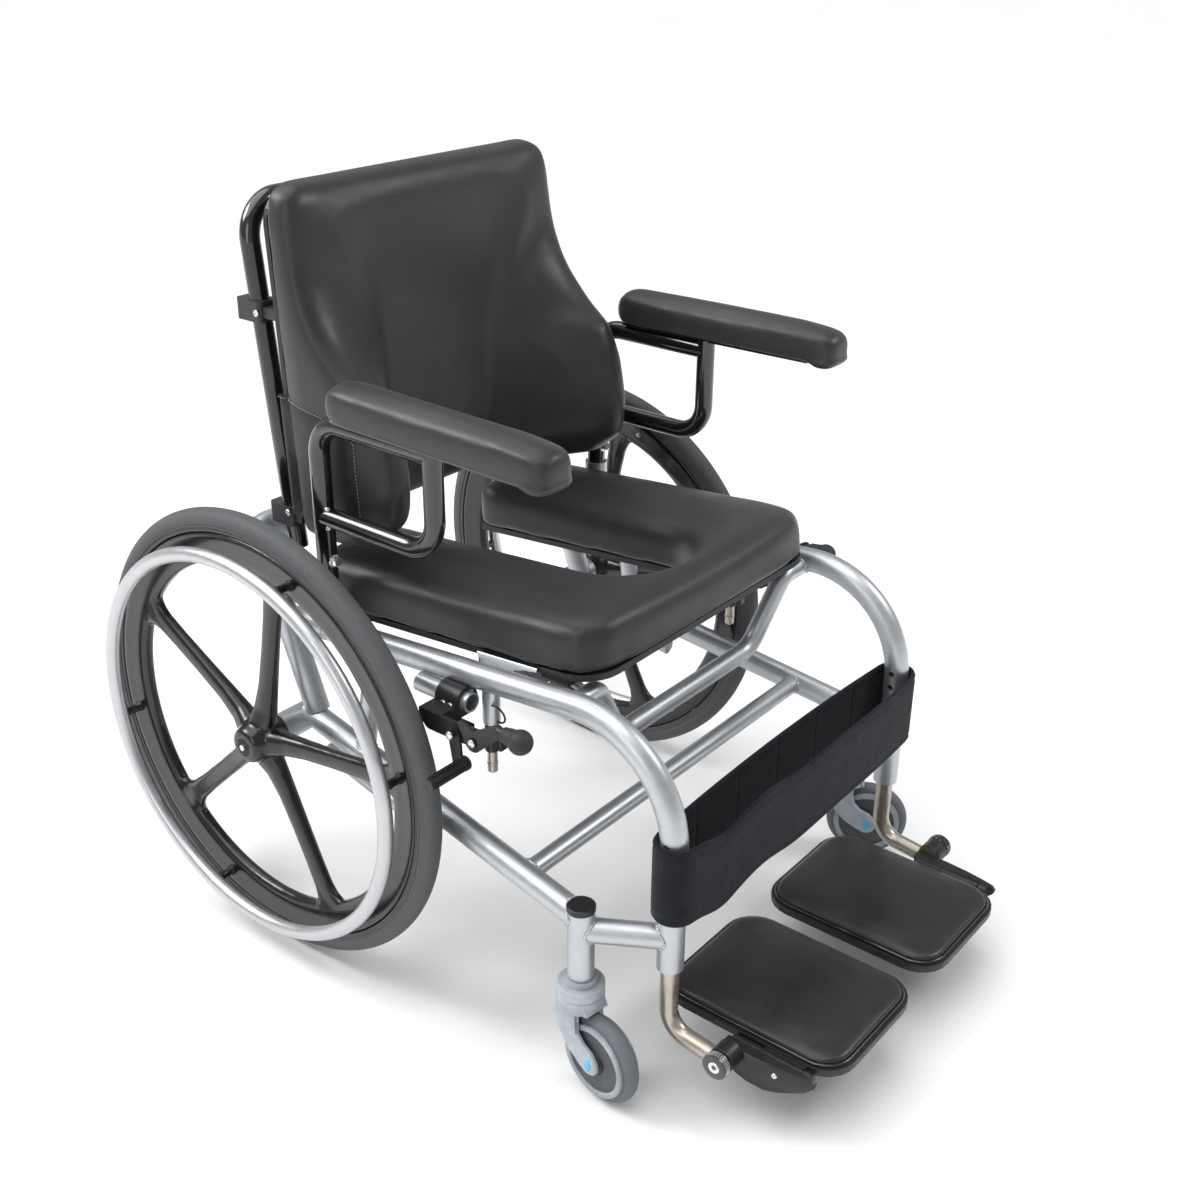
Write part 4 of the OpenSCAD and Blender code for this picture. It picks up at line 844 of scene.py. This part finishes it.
# Hub ends: the ring round the quick-release button, on the axle's head
AXLE_END = HUB_OUT - 0.7
RING_SECTION = [(4.4, 0), (4.4, 0.7), (7.6, 0.7), (8.6, 0), (8.6, -0.3)]
for side_name, sd in SIDES:
    nut = Shape().lathe(on_wheel(sd), [(r, AXLE_END + h) for r, h in RING_SECTION], 40)
    nut.piece("hub_ring_" + side_name, axle_black, "frame", "button_steel")

# Casters: a moulded fork with its collar, and on each wheel a ring, a cover disc and the axle's caps. Their
# turn is the CAD's
HEAD_X, HEAD_Y, CASTER_R, TRAIL = 305.0, -492.0, 58.0, 36.0
CASTER_TURN = {"right": 8.0, "left": 28.0}


def on_caster(side_name, sd):
    """Local Z runs outboard along the caster's axle and local X forward."""
    t = math.radians(CASTER_TURN[side_name])
    fwd = Vector((sd * math.sin(t), -math.cos(t), 0))
    out = Vector((sd * math.cos(t), math.sin(t), 0))
    hub = Vector((sd * HEAD_X, HEAD_Y, CASTER_R)) + fwd * TRAIL

    def place(p):
        return hub + fwd * p[0] + Vector((0, 0, p[1])) + out * p[2]

    return place


FORK_IN, FORK_OUT, COLLAR_R, COLLAR_TOP, STEM_BACK = 16.0, 23.0, 28.6, 91.4, -36.0
PIN_R, CAP_WIDTH, CAP_HEIGHT = 4.0, 0.82, 1.25
COLLAR_SECTION = [
    (0, 58), (COLLAR_R - 3, 58), (COLLAR_R, 61), (COLLAR_R, 76), (COLLAR_R - 1.0, 76.7), (COLLAR_R - 1.0, 77.8),
    (COLLAR_R, 78.5), (COLLAR_R, COLLAR_TOP - 2), (COLLAR_R - 2, COLLAR_TOP), (20, COLLAR_TOP),
    (20, COLLAR_TOP + 7.4), (0, COLLAR_TOP + 7.4),
]
CASTER_RING = [(39.5, 12.0), (39.5, 14.3), (40.3, 15.0), (46.2, 15.0), (47.0, 14.4), (47.2, 12.0)]
CASTER_DISC = [(16.0, 12.4), (16.5, 13.2), (20, 13.4), (34, 13.4), (38.6, 13.0), (38.9, 12.0)]
CASTER_CAP = [(0, FORK_OUT + 0.9), (5.2, FORK_OUT + 0.9), (6.6, FORK_OUT + 0.4), (7.2, FORK_OUT - 0.4)]


def arc_points(r, a0, a1, steps):
    turns = [math.radians(a0 + (a1 - a0) * i / steps) for i in range(steps + 1)]
    return [(r * math.cos(a), r * math.sin(a)) for a in turns]


FORK_ARM = [(-51, 74), (-55, 60), (-58, 48), (-56, 36), (-47, 20), (-32, 3), (-14, -9)]
FORK_ARM += arc_points(14, 225, 400, 16)
FORK_ARM += [(3, 18), (-10, 24), (-19, 34), (-24, 46), (-24, 60), (-21, 74)]
FORK_HOOD = [(-57, 74), (-60, 60), (-61, 46)] + arc_points(61.8, 146, 97, 14) + [(-14, 74)]


def fork_shape(place):
    """A collar round the stem, a hood over the wheel's rear and an arm that sweeps down to each axle end."""
    s = Shape()
    s.lathe(lambda p: place((STEM_BACK + p[0], p[2], p[1])), COLLAR_SECTION, 72)
    for side in (-1, 1):
        s.slab(lambda p, k=side: place((p[0], p[1], k * p[2])), FORK_ARM, FORK_IN, FORK_OUT, 2.0)
    s.slab(place, FORK_HOOD, -FORK_IN - 1, FORK_IN + 1, 0.6)
    return s.lathe(place, [(0, -FORK_OUT), (PIN_R, -FORK_OUT), (PIN_R, FORK_OUT), (0, FORK_OUT)], 24)


for side_name, sd in SIDES:
    fork_body = "caster_fork_" + side_name
    fork = fork_shape(on_caster(side_name, sd))
    fork = fork.piece("fork_" + side_name, caster_grey, fork_body, "caster_grey")
    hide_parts("caster_fork_" + side_name)

for side_name, sd in SIDES:
    place = on_caster(side_name, sd)
    wheel_body, fork_body = "caster_wheel_" + side_name, "caster_fork_" + side_name
    rings, lines, caps = Shape(), Shape(), Shape()
    for s in (-1, 1):
        rings.lathe(lambda p, s=s: place((p[0], p[1], s * p[2])), CASTER_RING, 96)
        lines.lathe(lambda p, s=s: place((p[0], p[1], s * p[2])), CASTER_DISC, 96)
        caps.lathe(lambda p, s=s: place((p[0] * CAP_WIDTH, p[1] * CAP_HEIGHT, s * p[2])), CASTER_CAP, 40)
    rings.piece("caster_ring_" + side_name, ring_grey, wheel_body, "caster_grey")
    lines.piece("caster_disc_" + side_name, cover_grey, wheel_body, "caster_cover")
    caps.piece("caster_cap_" + side_name, accent_blue, fork_body, "caster_grey")

# Weld beads where the frame's tubes meet: the upright strut, the cross tubes, the caster heads and the short
# tubes to the legs. Each radius is that of the branch, less what its bead overlaps
RAIL_Y, RAIL_Z, LOW_Z, LOW_IN, LOW_RISE = -280.0, 458.0, 238.0, 35.0, 78.0
CROSS_R, LOW_R, SHORT_R = 12.5, 15.6, 15.04
STRUT_Y, DROP_Y, DROP_Z, LOW_CROSS_Y, SHORT_Z = -120.0, -427.0, 464.0, -402.0, 222.0
# The long rippled bead that holds the brake's stub under the side tube
RUN_X, RUN_Y, RUN_Z, RUN_STEP, RUN_POINTS = 264.5, -220.0, 444.5, 2.5, 31
RUN_R, RUN_SWELL, RUN_TURN = 1.7, 0.5, 1.7


def rail_at(y):
    """Height of the side tube's line."""
    return RAIL_Z + (RAIL_Y - y) * SEAT_SLOPE


def low_at(y):
    """A point of the lower tube's line, which runs out and down to the caster's head."""
    t = (y - HEAD_Y) / -HEAD_Y
    return Vector((HEAD_X - LOW_IN * t, y, LOW_Z + LOW_RISE * t))


def mirror_x(sd, p):
    return Vector((sd * p[0], p[1], p[2]))


for side_name, sd in SIDES:
    beads = Shape()
    point, line, upright = (sd * LEG_X, 0, rail_at(0)), (0, -1, SEAT_SLOPE), (0, 0, 1)
    low_a, low_b = mirror_x(sd, low_at(0)), mirror_x(sd, low_at(HEAD_Y))
    up_low, up_high = mirror_x(sd, low_at(STRUT_Y)), Vector((sd * LEG_X, STRUT_Y, rail_at(STRUT_Y)))
    middle = (up_low + up_high) / 2
    weld(beads, middle, up_high - middle, CROSS_R, point, line)
    weld(beads, middle, up_low - middle, CROSS_R, low_a, low_b - low_a)
    weld(beads, low_b + (low_a - low_b) * 0.2, low_b - low_a, LOW_R, (sd * HEAD_X, HEAD_Y, 0), upright)
    short_a, short_b = Vector((sd * HEAD_X, HEAD_Y, SHORT_Z)), Vector((sd * LEG_X, LEG_Y, SHORT_Z))
    half = (short_a + short_b) / 2
    for end in (short_a, short_b):
        weld(beads, half, end - half, SHORT_R, end, upright)
    weld(beads, (sd * 200, DROP_Y, DROP_Z), (sd, 0, 0), CROSS_R, point, line)
    cross = low_at(LOW_CROSS_Y)
    weld(beads, (0, cross.y, cross.z), (sd, 0, 0), CROSS_R, low_a, low_b - low_a)
    run = [(sd * (RUN_X + 0.15 * (i % 3)), RUN_Y - i * RUN_STEP, RUN_Z + 0.2 * math.sin(i))
           for i in range(RUN_POINTS)]
    beads.tube(run, [RUN_R + RUN_SWELL * math.sin(i * RUN_TURN) for i in range(RUN_POINTS)], 8)
    beads.piece("weld_beads_" + side_name, silver, "frame", "frame_silver", 60)


def side_slab(shape, sd, x, edge, thick):
    """A plate of an outline in y and z, from x outboard by its thickness."""
    shape.slab(placed((sd * x, 0, 0), (sd, 0, 0), (0, 1, 0)), [(y, sd * z) for y, z in edge], 0, thick)


# Brakes: bright screws and rivets, the clamp's lower flange with its screws, and beside each a lock: a socket
# under the side tube with its block, the pin that hangs in it and the pin's wire ring
CLAMP_FACE_X, CLAMP_SCREW_Z, RIVET_X = 289.3, 431, 326.6
FLANGE_X, FLANGE_T, FLANGE_LOW, FLANGE_HIGH, FLANGE_SCREW_X = 274, 24, 403, 409, 284
RIVET = [(0, 2.6), (2.4, 2.5), (4.4, 1.5), (5.0, 0)]
LOCK_Y, SOCKET_R, LOCK_PIN_R, WIRE_Z = -313, 10.6, 6.2, 420
BLOCK_SECTION = [(6, 366), (8.4, 366), (9.2, 368), (9.2, 391), (8, 405), (6, 405)]
for side_name, sd in SIDES:
    bright, dark = Shape(), Shape()
    for y in (-272, -283):
        bright.screw(outboard(sd, CLAMP_FACE_X, y, CLAMP_SCREW_Z), 4.3, 2.2)
    for y, z in ((-316, 421), (-350, 423)):
        bright.lathe(outboard(sd, RIVET_X, y, z), RIVET, 24)
    flange = [(-306, FLANGE_HIGH), (-248, FLANGE_HIGH), (-248, FLANGE_LOW), (-306, FLANGE_LOW)]
    side_slab(dark, sd, FLANGE_X, flange, FLANGE_T)
    for y in (-262, -292):
        dark.screw(placed((sd * FLANGE_SCREW_X, y, FLANGE_LOW), (0, 0, -1)), 3.6, 3.2)
    bright.piece("brake_screws_" + side_name, chrome, "frame", "button_steel")
    dark.piece("brake_flange_" + side_name, black_plastic, "frame", "black_plastic")

    pin_x = sd * LEG_X
    place = placed((pin_x, LOCK_Y, 0), (0, 0, 1), (1, 0, 0))
    top = rail_at(LOCK_Y) - TUBE_R + 3
    holder, block, pin, wire = (Shape() for _ in range(4))
    holder.lathe(place, [(8.2, 408), (8.2, 404), (10.4, 404), (SOCKET_R, 405), (SOCKET_R, top), (9.0, top)], 36)
    block.lathe(place, BLOCK_SECTION, 32)
    block.slab(placed((pin_x, LOCK_Y - 6, 0), (0, 0, 1), (1, 0, 0)),
               outline_rounded(-7, 7, -14, 6, 3), 372, 388, 1)
    pin.lathe(place, [(0, 336), (5.0, 336), (LOCK_PIN_R, 337.4), (LOCK_PIN_R, 370)], 32)
    pin.lathe(place, [(6.25, 346), (6.8, 347), (6.8, 349), (6.25, 350)], 32)
    wire.ring(placed((pin_x + sd * 4, LOCK_Y - 12, WIRE_Z), (1, 0, 0.25)), 12.5, 1.3, 48, 8)
    holder.piece("lock_holder_" + side_name, silver, "frame", "frame_silver")
    block.piece("lock_block_" + side_name, black_plastic, "frame", "black_plastic")
    pin.piece("lock_pin_" + side_name, warm_steel, "frame", "button_steel")
    wire.piece("lock_ring_" + side_name, black_plastic, "frame", "black_plastic")

# Under the seat: a steel hook plate over each side tube with its black rubber, and a stop at the front corner.
# The plate's front is high enough to pass over the cross tube as the seat slides off
HOOK_X, HOOK_T, RUBBER_X, RUBBER_Y, RUBBER_Z, STOP_X, STOP_T = 236.6, 2.4, 228, -309, 457, 214, 17
HOOK_EDGE = [
    (-372, 484), (-352, 480), (-338, 475), (-326, 463), (-316, 464), (-309, 466), (-301, 463), (-296, 459),
    (-288, 463), (-280, 478), (-280, 481), (-372, 489),
]
STOP_EDGE = [(-412, 476), (-372, 476), (-372, 487), (-412, 491)]
RUBBER = [(0, 0), (9, 0), (10, 1), (10, 6.6), (9, 7.6), (0, 7.6)]
for side_name, sd in SIDES:
    plate, stop = Shape(), Shape()
    side_slab(plate, sd, HOOK_X, HOOK_EDGE, HOOK_T)
    stop.lathe(outboard(sd, RUBBER_X, RUBBER_Y, RUBBER_Z), RUBBER, 32)
    side_slab(stop, sd, STOP_X, STOP_EDGE, STOP_T)
    plate.piece("seat_hook_" + side_name, bright_silver, "seat", "footrest_steel")
    stop.piece("seat_rubber_" + side_name, grip_rubber, "seat", "grip_rubber")

# Armrests: a bright bolt with its washer and two rivets on each post, and the screws under each pad
BOLT_X, BOLT_Y, BOLT_Z, WASHER_Y, PAD_SCREW_X, PAD_SCREW_Z = 264, -70.6, 545, -70.3, 279, 736
POST_RIVET = [(0, 3.4), (2.4, 3.0), (3.8, 1.4), (4.2, 0)]
HEXAGON = [(6.4 * math.cos(math.radians(60 * i)), 6.4 * math.sin(math.radians(60 * i))) for i in range(6)]
for side_name, sd in SIDES:
    bolts = Shape()
    bolts.slab(placed((sd * BOLT_X, BOLT_Y, BOLT_Z), (0, -1, 0)), HEXAGON, 1.4, 7.6, 0.8)
    bolts.lathe(placed((sd * BOLT_X, WASHER_Y, BOLT_Z), (0, -1, 0)),
                [(8.2, 0), (8.2, 1.2), (7.6, 1.6), (5, 1.6)], 32)
    for y in (-217, -312):
        bolts.screw(placed((sd * PAD_SCREW_X, y, PAD_SCREW_Z), (0, 0, -1)), 4.4, 2.6)
    for z in (613, 590):
        bolts.lathe(placed((sd * 268, -69.5, z), (sd * 0.3, -1, 0)), POST_RIVET, 20)
    bolts.piece("armrest_bolts_" + side_name, chrome, "armrest_" + side_name, "button_steel")

# Back clamps: a screw in each block's side
CLAMP_SCREW_X, CLAMP_SCREWS = 233.0, ((46.0, 568), (73.0, 820))
screws = Shape()
for side_name, sd in SIDES:
    for y, z in CLAMP_SCREWS:
        screws.screw(outboard(sd, CLAMP_SCREW_X, y, z), 4.2, 2.2)
screws.piece("clamp_screws", chrome, "frame", "button_steel")

# Footrests: the hinge's housing tapers under the plate's front, with a knurled knob and a washer on its pivot
# and a screw in its side, and piping and a rim run round each pad
EYE_Y, EYE_Z, FLIP_X, FLIP_Z = -662.0, 95.0, 221.83, 92.0
HOUSE_IN, HOUSE_T, TAPER_FROM, TAPER_TO, TAPER = 224.6, 15.9, -704.0, -766.0, 0.62
SLEEVE_X, SLEEVE_R, SLEEVE_L, FLIP_PIN_R, FLIP_PIN_L = 241.2, 15.9, 22.3, 3, 58
KNOB_X, KNOB_R, KNOB_RIBS, RIB_AT = LEG_X + 24.5, 15.6, 36, 15.55
PLATE_IN, PLATE_OUT, PLATE_FRONT, PLATE_REAR, PLATE_CORNER = 15, 213, -783, -533, 42
KNOB_SECTION = [
    (0, -11.4), (14.6, -11.4), (KNOB_R, -10.4), (KNOB_R, 0.2), (13.6, 0.8), (7.6, 0.8), (7.4, 0.2), (0, 0.2),
]
KNOB_WASHER = [(0, -1.2), (2.7, -1.2), (2.9, 0.7), (3.4, 1.1), (7.0, 1.1), (7.4, 0.7), (7.4, 0)]
HOUSE_EDGE = [
    (-648, 100), (-648, 84), (-655, 73), (-668, 64), (-684, 60), (-706, 60), (-722, 64), (-738, 71), (-754, 79),
    (-760, 85), (-765, 90), (-766, 95), (-761, 99), (-745, 100), (-720, 100), (-690, 100),
]


def hinge_place(sd):
    """Local X and Y are y and z; the outer side draws in towards the front."""

    def place(p):
        t = min(1, max(0, (TAPER_FROM - p[0]) / (TAPER_FROM - TAPER_TO)))
        return Vector((sd * (HOUSE_IN + p[2] * (1 - TAPER * t)), p[0], p[1]))

    return place


for side_name, sd in SIDES:
    hinge_body, plate_body = "foot_hinge_" + side_name, "footplate_" + side_name
    house, knob, washer, pocket, piping, rim = (Shape() for _ in range(6))
    house.slab(hinge_place(sd), HOUSE_EDGE, 0, HOUSE_T, 1.4)
    for y0, y1 in ((-652, -690), (-745, -758)):
        house.lathe(placed((sd * FLIP_X, y0, FLIP_Z), (0, -1, 0)),
                    [(0, 0), (7, 0), (8, 1), (8, y0 - y1 - 1), (7, y0 - y1), (0, y0 - y1)], 32)
    house.lathe(placed((sd * FLIP_X, -688, FLIP_Z), (0, -1, 0)),
                [(0, 0), (FLIP_PIN_R, 0), (FLIP_PIN_R, FLIP_PIN_L), (0, FLIP_PIN_L)], 20)
    house.lathe(outboard(sd, SLEEVE_X, EYE_Y, EYE_Z),
                [(0, 0), (SLEEVE_R - 0.7, 0), (SLEEVE_R, 0.7), (SLEEVE_R, SLEEVE_L - 0.7),
                 (SLEEVE_R - 0.7, SLEEVE_L), (0, SLEEVE_L)], 56)
    housing = house.piece("hinge_house_" + side_name, black_plastic, hinge_body, "black_plastic")
    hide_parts("foot_hinge_" + side_name)
    place = outboard(sd, KNOB_X, EYE_Y, EYE_Z)
    knob.lathe(place, KNOB_SECTION, 56)
    for i in range(KNOB_RIBS):
        t = 2 * math.pi * i / KNOB_RIBS
        x, y = RIB_AT * math.cos(t), RIB_AT * math.sin(t)
        knob.tube([place((x, y, -9.6)), place((x, y, -0.8))], 0.6, 6)
    washer.lathe(place, KNOB_WASHER, 40)
    washer.lathe(place, [(0, -13), (11.2, -13), (11.2, -11.4), (0, -11.4)], 40)
    knob.piece("knob_face_" + side_name, black_gloss, hinge_body, "black_plastic")
    washer.piece("knob_washer_" + side_name, chrome, hinge_body, "button_steel")
    pocket.screw(outboard(sd, 237.4, -718, 88), 3.6, 2.2)
    pocket.piece("hinge_screw_" + side_name, chrome, hinge_body, "button_steel")
    for inset, z, r, target in ((6.0, 101.0, 1.9, piping), (4.6, 94.5, 4.75, rim)):
        path = outline_rounded(PLATE_IN + inset, PLATE_OUT - inset, PLATE_FRONT + inset, PLATE_REAR - inset,
                               PLATE_CORNER - inset, 10)
        target.tube([(sd * x, y, z) for x, y in path], r, 12, closed=True)
    piping.piece("pad_piping_" + side_name, black_gloss, plate_body, "leatherette")
    rim.piece("plate_rim_" + side_name, black_plastic, plate_body, "black_plastic")

# Side panels: a dark cover sewn over the lower side of the backrest, with tan stitches along two of its edges
PANEL_EDGE = [(41, 727), (-12, 722), (-62, 716), (-86, 708), (-92, 697), (-95, 640), (-95, 601), (-90, 580),
              (-60, 572), (0, 566), (34, 570)]
STITCHED = (PANEL_EDGE[:5], PANEL_EDGE[4:8])
PANEL_RINGS, PANEL_OUT, PANEL_TUCK, STITCH_OUT, STITCH_STEP, STITCH_R = 9, 1.1, -0.8, 1.4, 2.4, 0.55
# Where the ray starts, the least x that counts as the cushion's side, and the side's x where no ray meets it
RAY_FROM, SIDE_LEAST, SIDE_X = 400, 200, 236


def resample(points, step):
    """Points along a line, about a step apart."""
    out = []
    for a, b in zip(points, points[1:]):
        n = max(1, round(math.dist(a, b) / step))
        out += [(a[0] + (b[0] - a[0]) * i / n, a[1] + (b[1] - a[1]) * i / n) for i in range(n)]
    return out + [points[-1]]


def on_side(o, sd, y, z):
    """The point of the cushion's side at a height and depth, in the axle's frame in millimetres."""
    hit, place, _, _ = o.ray_cast(at(sd * RAY_FROM, y, z), Vector((-sd, 0, 0)))
    x = place.x * 1000
    return Vector((x if hit and abs(x) > SIDE_LEAST else sd * SIDE_X, y, z))


for side_name, sd in SIDES:
    edge = resample(PANEL_EDGE + PANEL_EDGE[:1], 8)[:-1]
    cy, cz = (sum(p[k] for p in edge) / len(edge) for k in (0, 1))
    verts = []
    for k in range(PANEL_RINGS):
        share = k / (PANEL_RINGS - 1)
        out = PANEL_OUT if share < 1 else PANEL_TUCK
        for y, z in edge:
            p = on_side(back, sd, cy + (y - cy) * share, cz + (z - cz) * share)
            verts.append(p + Vector((sd * out, 0, 0)))
    panel = Shape().add(verts, grid_faces(PANEL_RINGS, len(edge)))
    panel = panel.piece("side_panel_" + side_name, side_cloth, "frame", "leatherette", 60)
    seams = Shape()
    for run in STITCHED:
        pts = resample([(y + (1.5 if i else 0), z - 3.2) for i, (y, z) in enumerate(run)], STITCH_STEP)
        for i in range(0, len(pts) - 1, 2):
            ends = [on_side(back, sd, *pts[j]) + Vector((sd * STITCH_OUT, 0, 0)) for j in (i, i + 1)]
            seams.tube(ends, STITCH_R, 6)
    seams.piece("side_stitches_" + side_name, thread, "frame", "leatherette")

# Floor, light and camera
scene = bpy.context.scene
FLOOR = 40.0
floor_me = bpy.data.meshes.new("floor")
corners = ((-1, -1), (1, -1), (1, 1), (-1, 1))
floor_me.from_pydata([(x * FLOOR, y * FLOOR, 0) for x, y in corners], [], [(0, 1, 2, 3)])
floor = linked("floor", floor_me)
floor_mat = shader("floor_paper", (0.90, 0.90, 0.90), 0.8, spec=0.1)
floor_graph = Graph(floor_mat)
floor_tones = [(0.3, (0.895, 0.895, 0.895)), (0.7, (0.905, 0.905, 0.905))]
floor_graph.colour(floor_graph.ramp(floor_graph.noise(1.5, 2), floor_tones))
floor_me.materials.append(floor_mat)

world = bpy.data.worlds.new("studio")
scene.world = world
world.use_nodes = True
sky_node = world.node_tree.nodes["Background"]
sky_node.inputs["Color"].default_value = (1, 1, 1, 1)
sky_node.inputs["Strength"].default_value = 0.42


def area_light(name, place, target, size, power):
    data = bpy.data.lights.new(name, "AREA")
    data.shape = "RECTANGLE"
    data.size, data.size_y = size
    data.energy = power
    o = linked(name, data)
    o.location = place
    o.rotation_mode = "QUATERNION"
    o.rotation_quaternion = (Vector(target) - Vector(place)).to_track_quat("-Z", "Y")


area_light("key", (1.6, -1.9, 2.6), (0, 0, 0.5), (1.0, 1.0), 30)
area_light("rear", (-1.4, 1.9, 2.4), (0, 0, 0.6), (1.2, 1.0), 40)
area_light("fill", (-2.8, -0.6, 1.6), (0, 0, 0.5), (0.9, 1.6), 12)
sky = bpy.data.lights.new("sky", "SUN")
sky.energy = 2.4
sky.angle = math.radians(70)
linked("sky", sky).rotation_euler = (math.radians(-16), math.radians(-14), 0)
scene.view_settings.view_transform = "Standard"

CAM_AZ, CAM_EL, CAM_ROLL = math.radians(-51.89), math.radians(26.05), math.radians(0.62)
CAM_PLACE = Vector((-1.373, -1.352 + CENTRE_Y / 1000, 1.309))
SENSOR, FOCAL_PX, IMAGE_PX = 36.0, 1503.0, 1200.0
cam_data = bpy.data.cameras.new("camera")
cam_data.sensor_width = SENSOR
cam_data.lens = FOCAL_PX / IMAGE_PX * SENSOR
cam = linked("camera", cam_data)
bpy.context.scene.camera = cam
level = math.cos(CAM_EL)
back_axis = Vector((math.sin(CAM_AZ) * level, -math.cos(CAM_AZ) * level, math.sin(CAM_EL)))
right_axis = Vector((math.cos(CAM_AZ), math.sin(CAM_AZ), 0))
up_axis = back_axis.cross(right_axis)
r = math.cos(CAM_ROLL) * right_axis + math.sin(CAM_ROLL) * up_axis
u = -math.sin(CAM_ROLL) * right_axis + math.cos(CAM_ROLL) * up_axis
cam.matrix_world = Matrix((
    (r.x, u.x, back_axis.x, CAM_PLACE.x),
    (r.y, u.y, back_axis.y, CAM_PLACE.y),
    (r.z, u.z, back_axis.z, CAM_PLACE.z),
    (0, 0, 0, 1),
))
